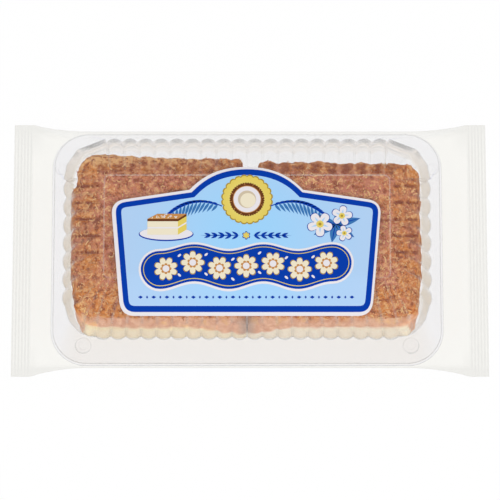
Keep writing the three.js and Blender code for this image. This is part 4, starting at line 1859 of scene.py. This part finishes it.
@dataclass
class LabelArt:
    """The label's picture: a coconut half under its crest, a wavy band of rosettes, a cake slice and flowers.

    All sizes are in millimetres on the label's plan.

    Attributes:
        label: The label that it is printed on.
        coconut: The coconut half's place and radius.
        band: The wavy band's half length, its middle and its half width.
        wave: The height and the length of the band's waves.
        rosettes: How many rosettes the band has, how far apart they are and their radius.
        slice: The cake slice's place.
        flowers: Each flower's place and radius.
        sprig: How high the sprig lies.
        lozenges: How many lozenges there are, how far apart and how high they lie.
        seed: The start of its random draws.
    """

    label: PackLabel
    coconut: Triple = (0.5, 24.4, 11.2)
    band: Triple = (67, -19.5, 12)
    wave: Pair = (2.2, 44)
    rosettes: tuple[int, float, float] = (7, 17, 7.8)
    slice: Point = (-52, 7)
    flowers: Triples = ((47, 8, 8), (61, 13.5, 6.5), (62.5, 2, 5))
    sprig: float = 0.6
    lozenges: tuple[int, float, float] = (33, 4.2, -38.4)
    seed: int = 8

    def put(self, points: Sequence[Point], layer: Layer, ink: Ink) -> None:
        """Prints one shape given in millimetres."""
        self.label.shape([(x * MM, y * MM) for x, y in points], layer, ink)

    @staticmethod
    def oval(x: float, y: float, across: float, up: float, turn: float = 0.0, count: int = 32) -> list[Point]:
        """An oval's outline.

        Args:
            x: Its place along the label.
            y: Its place across the label.
            across: Half its width.
            up: Half its height.
            turn: Its turn in degrees.
            count: How many points it has.

        Returns:
            The outline.
        """
        cos, sin = math.cos(math.radians(turn)), math.sin(math.radians(turn))
        points = []
        for angle in np.linspace(0, 2 * math.pi, count, endpoint=False):
            out, over = across * math.cos(angle), up * math.sin(angle)
            points.append((x + out * cos - over * sin, y + out * sin + over * cos))
        return points

    @staticmethod
    def petals(x: float, y: float, radius: float, count: int, depth: float, turn: float = 0.0) -> list[Point]:
        """A flower's outline.

        Args:
            x: Its place along the label.
            y: Its place across the label.
            radius: How far its petals reach.
            count: How many petals it has.
            depth: How deep the notches between them are, as a share of the radius.
            turn: Its turn in degrees.

        Returns:
            The outline.
        """
        points = []
        for angle in np.linspace(0, 2 * math.pi, 10 * count, endpoint=False):
            reach = radius * (1 - depth * (1 - abs(math.sin(count * angle / 2))) ** 1.5)
            facing = angle + math.radians(turn)
            points.append((x + reach * math.cos(facing), y + reach * math.sin(facing)))
        return points

    @staticmethod
    def leaf(start: Point, end: Point, width: float, count: int = 10) -> list[Point]:
        """A leaf's outline.

        Args:
            start: Its stalk.
            end: Its tip.
            width: Its width.
            count: How many points each side has.

        Returns:
            The outline.
        """
        along = np.subtract(end, start)
        side = np.array((-along[1], along[0])) / np.linalg.norm(along) * width / 2
        shares = np.linspace(0, 1, count)[:, None]
        middle, out = start + along * shares, side * np.sin(np.pi * shares**0.8)
        return [tuple(point) for point in (*(middle + out), *(middle - out)[-2:0:-1])]

    def draw(self) -> None:
        """Prints the whole picture."""
        self.draw_coconut()
        for side in (-1, 1):
            self.draw_frond(side)
        self.draw_band()
        self.draw_slice()
        self.draw_flowers()
        self.draw_divider()
        self.draw_lozenges()

    def draw_divider(self) -> None:
        """Prints a small sprig between the coconut and the band."""
        y = self.sprig
        self.put(self.petals(0, y, 2.7, 6, 0.4), Layer.MOTIF, Ink.NAVY)
        self.put(self.petals(0, y, 2.1, 6, 0.4), Layer.DETAIL, Ink.YELLOW)
        for side in (-1, 1):
            self.put(self.leaf((side * 4, y), (side * 29, y), 0.7), Layer.UNDER, Ink.NAVY)
            for index in range(5):
                x = side * (5 + 4.4 * index)
                for lift in (-2.6, 2.6):
                    tip = (x + side * 4.2, y + lift * (1 - 0.1 * index))
                    self.put(self.leaf((x, y), tip, 1.5), Layer.MOTIF, Ink.NAVY)

    def draw_coconut(self) -> None:
        """Prints the coconut half on its scalloped disc: shell, rind, flesh and hollow."""
        x, y, radius = self.coconut
        for grown, count, layer, ink in (
            (5.4, 24, Layer.MOTIF, Ink.GOLD), (4.5, 24, Layer.DETAIL, Ink.YELLOW),
            (0, 44, Layer.ACCENT, Ink.BROWN),
        ):
            self.put(self.petals(x, y, radius + grown, count, 0.06), layer, ink)
        hollow = radius - 5.4
        for size, layer, ink in (
            (radius - 2.1, Layer.SPARK, Ink.TAN), (radius - 2.6, Layer.HEART, Ink.WHITE),
            (hollow, Layer.TIP, Ink.SHELL),
        ):
            self.put(self.oval(x, y, size, size), layer, ink)
        self.put(self.oval(x + 0.6, y - 0.7, hollow - 0.9, hollow - 1), Layer.FLAKE, Ink.CREAM)
        for turn in range(0, 360, 30):
            angle = math.radians(turn + 8)
            fibre = [(x + reach * math.cos(angle), y + reach * math.sin(angle)) for reach in (9.6, 11)]
            self.put(self.leaf(fibre[0], fibre[1], 0.5, 6), Layer.HEART, Ink.TAN)

    def draw_frond(self, side: int) -> None:
        """Prints one palm frond beside the coconut.

        Args:
            side: -1 for the left or 1 for the right.
        """
        stem = self.label.curve((side * 15.5, 20), (side * 33, 27.5), (side * 49, 14.5), 14)
        for index, (x, y) in enumerate(stem[1:-1]):
            size = 3.2 + 5.2 * math.sin(math.pi * (index + 2) / 15)
            for lean, reach in ((0.35, 0.8), (-0.85, 1.15)):
                droop = lean - 0.06 * index
                tip = (x + side * size * math.cos(droop) * reach, y + size * math.sin(droop) * reach)
                self.put(self.leaf((x, y), tip, 1.7), Layer.UNDER, Ink.LEAF if lean < 0 else Ink.NAVY)
        upper, lower = ([(x, y + rise) for x, y in stem] for rise in (0.35, -0.35))
        self.put(upper + lower[::-1], Layer.MOTIF, Ink.NAVY)

    def wave_at(self, x: float) -> float:
        """How far the band's waves lift it at a place along the label."""
        height, length = self.wave
        return height * math.sin(2 * math.pi * x / length)

    def band_outline(self, spread: float) -> list[Point]:
        """Sets out the wavy band.

        Args:
            spread: How far it is grown on every side.

        Returns:
            Its outline.
        """
        half, middle, width = self.band
        half, width = half + spread, width + spread
        right = []
        for x in np.linspace(-half + width, half - width, 60):
            right.append((x, middle + self.wave_at(x) - width))
        for angle in np.linspace(-90, 90, 16)[1:-1]:
            x = half - width + width * math.cos(math.radians(angle))
            right.append((x, middle + self.wave_at(half - width) + width * math.sin(math.radians(angle))))
        left = [(-x, 2 * middle - y) for x, y in right]
        return right + left

    def draw_band(self) -> None:
        """Prints the wavy band with its rosettes and flakes."""
        middle = self.band[1]
        for spread, layer, ink in (
            (1.4, Layer.UNDER, Ink.WHITE), (0, Layer.MOTIF, Ink.NAVY), (-1.5, Layer.DETAIL, Ink.YELLOW),
            (-1.95, Layer.ACCENT, Ink.NAVY),
        ):
            self.put(self.band_outline(spread), layer, ink)
        count, pitch, radius = self.rosettes
        for index in range(count):
            x = (index - (count - 1) / 2) * pitch
            y = middle + self.wave_at(x)
            turn = 22.5 * (index % 2)
            self.put(self.petals(x, y, radius, 8, 0.34, turn), Layer.SPARK, Ink.GOLD)
            self.put(self.petals(x, y, radius - 0.6, 8, 0.36, turn), Layer.HEART, Ink.CREAM)
            self.put(self.petals(x, y, radius / 2.2, 8, 0.3, turn + 22.5), Layer.TIP, Ink.TAN)
            self.put(self.oval(x, y, radius / 3.6, radius / 3.6, count=20), Layer.FLAKE, Ink.WHITE)
        for index in range(count - 1):
            x = (index - (count - 2) / 2) * pitch
            for lift in (-6.4, 6.4):
                y = middle + self.wave_at(x) + lift
                flake = self.oval(x, y, 1.3, 0.7, 40 * math.copysign(1, lift), 14)
                self.put(flake, Layer.SPARK, Ink.WHITE)

    def draw_slice(self) -> None:
        """Prints a slice of cake on a plate: two sponge layers, a cream seam, a brown top and flakes."""
        x, y = self.slice
        self.put(self.oval(x + 1, y - 5.6, 17.5, 4.6), Layer.UNDER, Ink.NAVY)
        self.put(self.oval(x + 1, y - 5.2, 16.9, 4.1), Layer.MOTIF, Ink.WHITE)
        left, edge, right, rear = x - 11, x + 8.5, x + 14, x - 4.6
        foot, brow, rise = y - 6, y + 4.4, 3.4
        far = brow + rise
        self.put([(left, foot), (edge, foot), (edge, brow), (left, brow)], Layer.DETAIL, Ink.CREAM)
        self.put([(edge, foot), (right, foot + rise), (right, far), (edge, brow)], Layer.DETAIL, Ink.YELLOW)
        top = [(left, brow), (edge, brow), (right, far), (rear, far)]
        low = brow - 1.5
        crust = [(left, low), (edge, low), (right, low + rise), (right, far), (rear, far), (left, brow)]
        self.put(crust, Layer.ACCENT, Ink.BROWN)
        self.put(top, Layer.SPARK, Ink.TAN)
        seam = [(left, y - 1.9), (edge, y - 1.9), (right, y - 1.9 + rise)]
        seam += [(px, py + 1) for px, py in reversed(seam)]
        self.put(seam, Layer.ACCENT, Ink.WHITE)
        random = np.random.default_rng(self.seed)
        for along, up in random.uniform((0.06, 0.12), (0.94, 0.88), (16, 2)):
            place_x = lerp(lerp(left, rear, up), lerp(edge, right, up), along)
            turn = float(random.uniform(0, 180))
            flake = self.oval(place_x, brow + rise * up, 0.75, 0.28, turn, 8)
            self.put(flake, Layer.HEART, Ink.WHITE if up > 0.4 else Ink.CREAM)

    def draw_flowers(self) -> None:
        """Prints the flowers with their leaves."""
        middle = np.mean(self.flowers, axis=0)[:2]
        for turn in (20, 75, 150, 215, 262, 315):
            angle = math.radians(turn)
            tip = (middle[0] + 17 * math.cos(angle), middle[1] + 12 * math.sin(angle))
            self.put(self.leaf(tuple(middle), tip, 5), Layer.UNDER, Ink.LEAF)
            self.put(self.leaf(tuple(middle), tip, 0.7), Layer.MOTIF, Ink.NAVY)
        for index, (x, y, radius) in enumerate(self.flowers):
            turn = 90 + 25 * index
            self.put(self.petals(x, y, radius + 0.5, 5, 0.5, turn), Layer.DETAIL, Ink.NAVY)
            self.put(self.petals(x, y, radius, 5, 0.52, turn), Layer.ACCENT, Ink.WHITE)
            for petal in range(5):
                angle = math.radians(turn + 72 * petal + 36)
                end = (x + 0.72 * radius * math.cos(angle), y + 0.72 * radius * math.sin(angle))
                self.put(self.leaf((x, y), end, radius / 7), Layer.SPARK, Ink.SKY)
            self.put(self.petals(x, y, radius / 3.2, 10, 0.2), Layer.HEART, Ink.YELLOW)
            self.put(self.oval(x, y, radius / 8, radius / 8, count=14), Layer.TIP, Ink.GOLD)

    def draw_lozenges(self) -> None:
        """Prints the row of small lozenges along the foot."""
        count, pitch, y = self.lozenges
        for index in range(count):
            x = (index - (count - 1) / 2) * pitch
            wide = 1.5 if index % 2 == 0 else 0.7
            self.put([(x - wide, y), (x, y - 0.9), (x + wide, y), (x, y + 0.9)], Layer.MOTIF, Ink.NAVY)


@dataclass
class Studio:
    """The pale floor, the soft light and the camera.

    Attributes:
        elevation: The camera's angle above the horizon, in degrees.
        distance: How far it stands from the pack.
        span: The width of what it sees at the flange.
        aim: What it looks at.
        floor_size: Half the floor's size.
        floor_z: The floor's height, just under the pack.
        floor_glow: How strongly the floor glows.
        dome: The bright dome's strength at the horizon and overhead.
        lamp_size: The lamp's length and width.
        lamp_power: Its power in watts.
        lamp_place: Its place.
    """

    elevation: float = 75.0
    distance: float = 2.5
    span: float = 322.5 * MM
    aim: Triple = (0.0, 0.0, 15.1 * MM)
    floor_size: float = 6.0
    floor_z: float = -0.2 * MM
    floor_glow: float = 0.97
    dome: Pair = (0.75, 0.8)
    lamp_size: Pair = (1.2, 0.8)
    lamp_power: float = 7.2
    lamp_place: Triple = (0.2, -0.8, 1.45)

    def camera(self) -> None:
        """Sets the camera at the photograph's angle."""
        angle = math.radians(self.elevation)
        back = Vector((0, -math.cos(angle), math.sin(angle)))
        data = bpy.data.cameras.new("camera")
        data.sensor_width = 36
        data.lens = data.sensor_width * self.distance / self.span
        camera = bpy.data.objects.new("camera", data)
        camera.location = Vector(self.aim) + back * self.distance
        camera.rotation_euler = (-back).to_track_quat("-Z", "Y").to_euler()
        bpy.context.scene.collection.objects.link(camera)
        bpy.context.scene.camera = camera

    def floor(self) -> None:
        """Lays a white floor that glows like a light table."""
        material, net = new_material("light_table")
        glow = net.add("BsdfPrincipled", {
            "Base Color": (0.03, 0.03, 0.03, 1),
            "Roughness": 0.9,
            "Specular IOR Level": 0.0,
            "Emission Color": (1, 1, 1, 1),
            "Emission Strength": self.floor_glow,
        })
        net.add("OutputMaterial", {"Surface": glow.outputs[0]})
        bm = bmesh.new()
        bmesh.ops.create_grid(bm, x_segments=1, y_segments=1, size=self.floor_size)
        bmesh.ops.translate(bm, verts=bm.verts, vec=(0, 0, self.floor_z))
        floor = bpy.data.objects.new("floor", mesh_from(bm, "floor"))
        floor.data.materials.append(material)
        bpy.context.scene.collection.objects.link(floor)

    def light(self) -> None:
        """Lights the pack from a bright dome and one broad lamp overhead."""
        scene = bpy.context.scene
        world = bpy.data.worlds.new("dome")
        scene.world = world
        world.use_nodes = True
        world.node_tree.nodes.clear()
        net = Wiring(world.node_tree)
        up = net.add("SeparateXYZ", {0: net.add("TexCoord").outputs["Generated"]}).outputs["Z"]
        low, high = self.dome
        strength = net.add("MapRange", {0: up, 1: 0.0, 2: 0.7, 3: low, 4: high}).outputs[0]
        dome = net.add("Background", {"Color": (1, 1, 1, 1), "Strength": strength})
        net.add("OutputWorld", {"Surface": dome.outputs[0]})
        lamp = bpy.data.lights.new("overhead", "AREA")
        lamp.shape = "RECTANGLE"
        lamp.size, lamp.size_y = self.lamp_size
        lamp.energy = self.lamp_power
        overhead = bpy.data.objects.new("overhead", lamp)
        overhead.location = self.lamp_place
        overhead.rotation_euler = (-overhead.location).to_track_quat("-Z", "Y").to_euler()
        overhead.visible_glossy = False
        scene.collection.objects.link(overhead)
        scene.view_settings.view_transform = "Standard"
        scene.cycles.transparent_max_bounces = 32

    def build(self) -> None:
        """Sets up the whole studio."""
        self.camera()
        self.floor()
        self.light()


def slab_fits() -> dict[Hand, SlabFit]:
    """Sets out how the two slabs lie in the clamshell, each a little askew.

    Returns:
        Each slab's fit.
    """
    sizes = {
        Hand.LEFT: {
            "inner": (3.9, 2.6), "outer": 112.4, "rear": (55.9, 58.6),
            "front_corner": (15, 8), "rear_corner": (13, 12), "step": (37.5, 3.4),
        },
        Hand.RIGHT: {
            "inner": (1.9, 7.2), "outer": 110.9, "rear": (53.8, 51.8),
            "front_corner": (18, 6), "rear_corner": (10, 8), "step": (60, 0.0),
        },
    }
    looks = {
        Hand.LEFT: {"taper": (0.11, 0.158), "gilt": 0.75, "rear_press": 0.55, "yolky": 1.0},
        Hand.RIGHT: {"taper": (0.05, 0.12), "gilt": 0.2, "rear_press": 0.85, "yolky": 0.35},
    }
    fits = {}
    for hand, values in sizes.items():
        metres = {name: np.multiply(value, MM) for name, value in values.items()}
        fits[hand] = SlabFit(**metres, **looks[hand])
    return fits


def main() -> None:
    """Builds the pack from the inside out, then the studio."""
    logging.basicConfig(level=logging.INFO, format="%(name)s %(message)s")
    LOG.info("frame: %s", ", ".join(sorted(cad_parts)))
    film_finish = ClearPlastic(
        "clear_film", tint=(0.987, 0.985, 0.976), edge=(0.95, 0.95, 0.94), shine=0.012, roughness=0.05
    )
    lid_finish = ClearPlastic("clear_lid", tint=(0.987, 0.988, 1.0), edge=(0.88, 0.84, 0.825), shine=0.018)
    stud_finish = ClearPlastic("clear_stud", tint=(0.999, 0.999, 1.0), edge=(0.95, 0.94, 0.935), shine=0.01)
    tray_finish = ClearPlastic(
        "clear_tray", tint=(0.987, 0.988, 1.0), edge=(0.87, 0.86, 0.86), shine=0.018, roughness=0.08
    )
    cake_finish = BakedCake(
        "baked_cake",
        dark=(140, 58, 14),
        gold=(217, 131, 48),
        rose=(205, 126, 96),
        pale=(255, 206, 142),
        side=(248, 198, 164),
        seam=(196, 168, 152),
        yolk=(255, 240, 200),
        crumb=(254, 248, 232),
    )
    coconut_finish = ToastedCoconut("toasted_coconut", (250, 208, 144), (186, 98, 40))
    clamshell = Clamshell()
    clamshell.build(lid_finish.material(), stud_finish.material(), tray_finish.material())
    cake, coconut = cake_finish.material(), coconut_finish.material()
    for hand, fit in slab_fits().items():
        CakeSlab(hand, fit, clamshell).build(cake, coconut)
    film = FilmWrap(clamshell)
    film.build(film_finish.material())
    label = PackLabel(film)
    hearts = {
        Ink.SKY: ((158, 211, 250), (label.x, 0.0), 85 * MM),
        Ink.YELLOW: ((240, 226, 140), (label.x, 24.5 * MM), 15 * MM),
    }
    inks = [PrintInk(f"ink_{ink.name.lower()}", ink.value, *hearts.get(ink, ())) for ink in Ink]
    label.build([ink.material() for ink in inks])
    Studio().build()


if __name__ == "__main__":
    main()
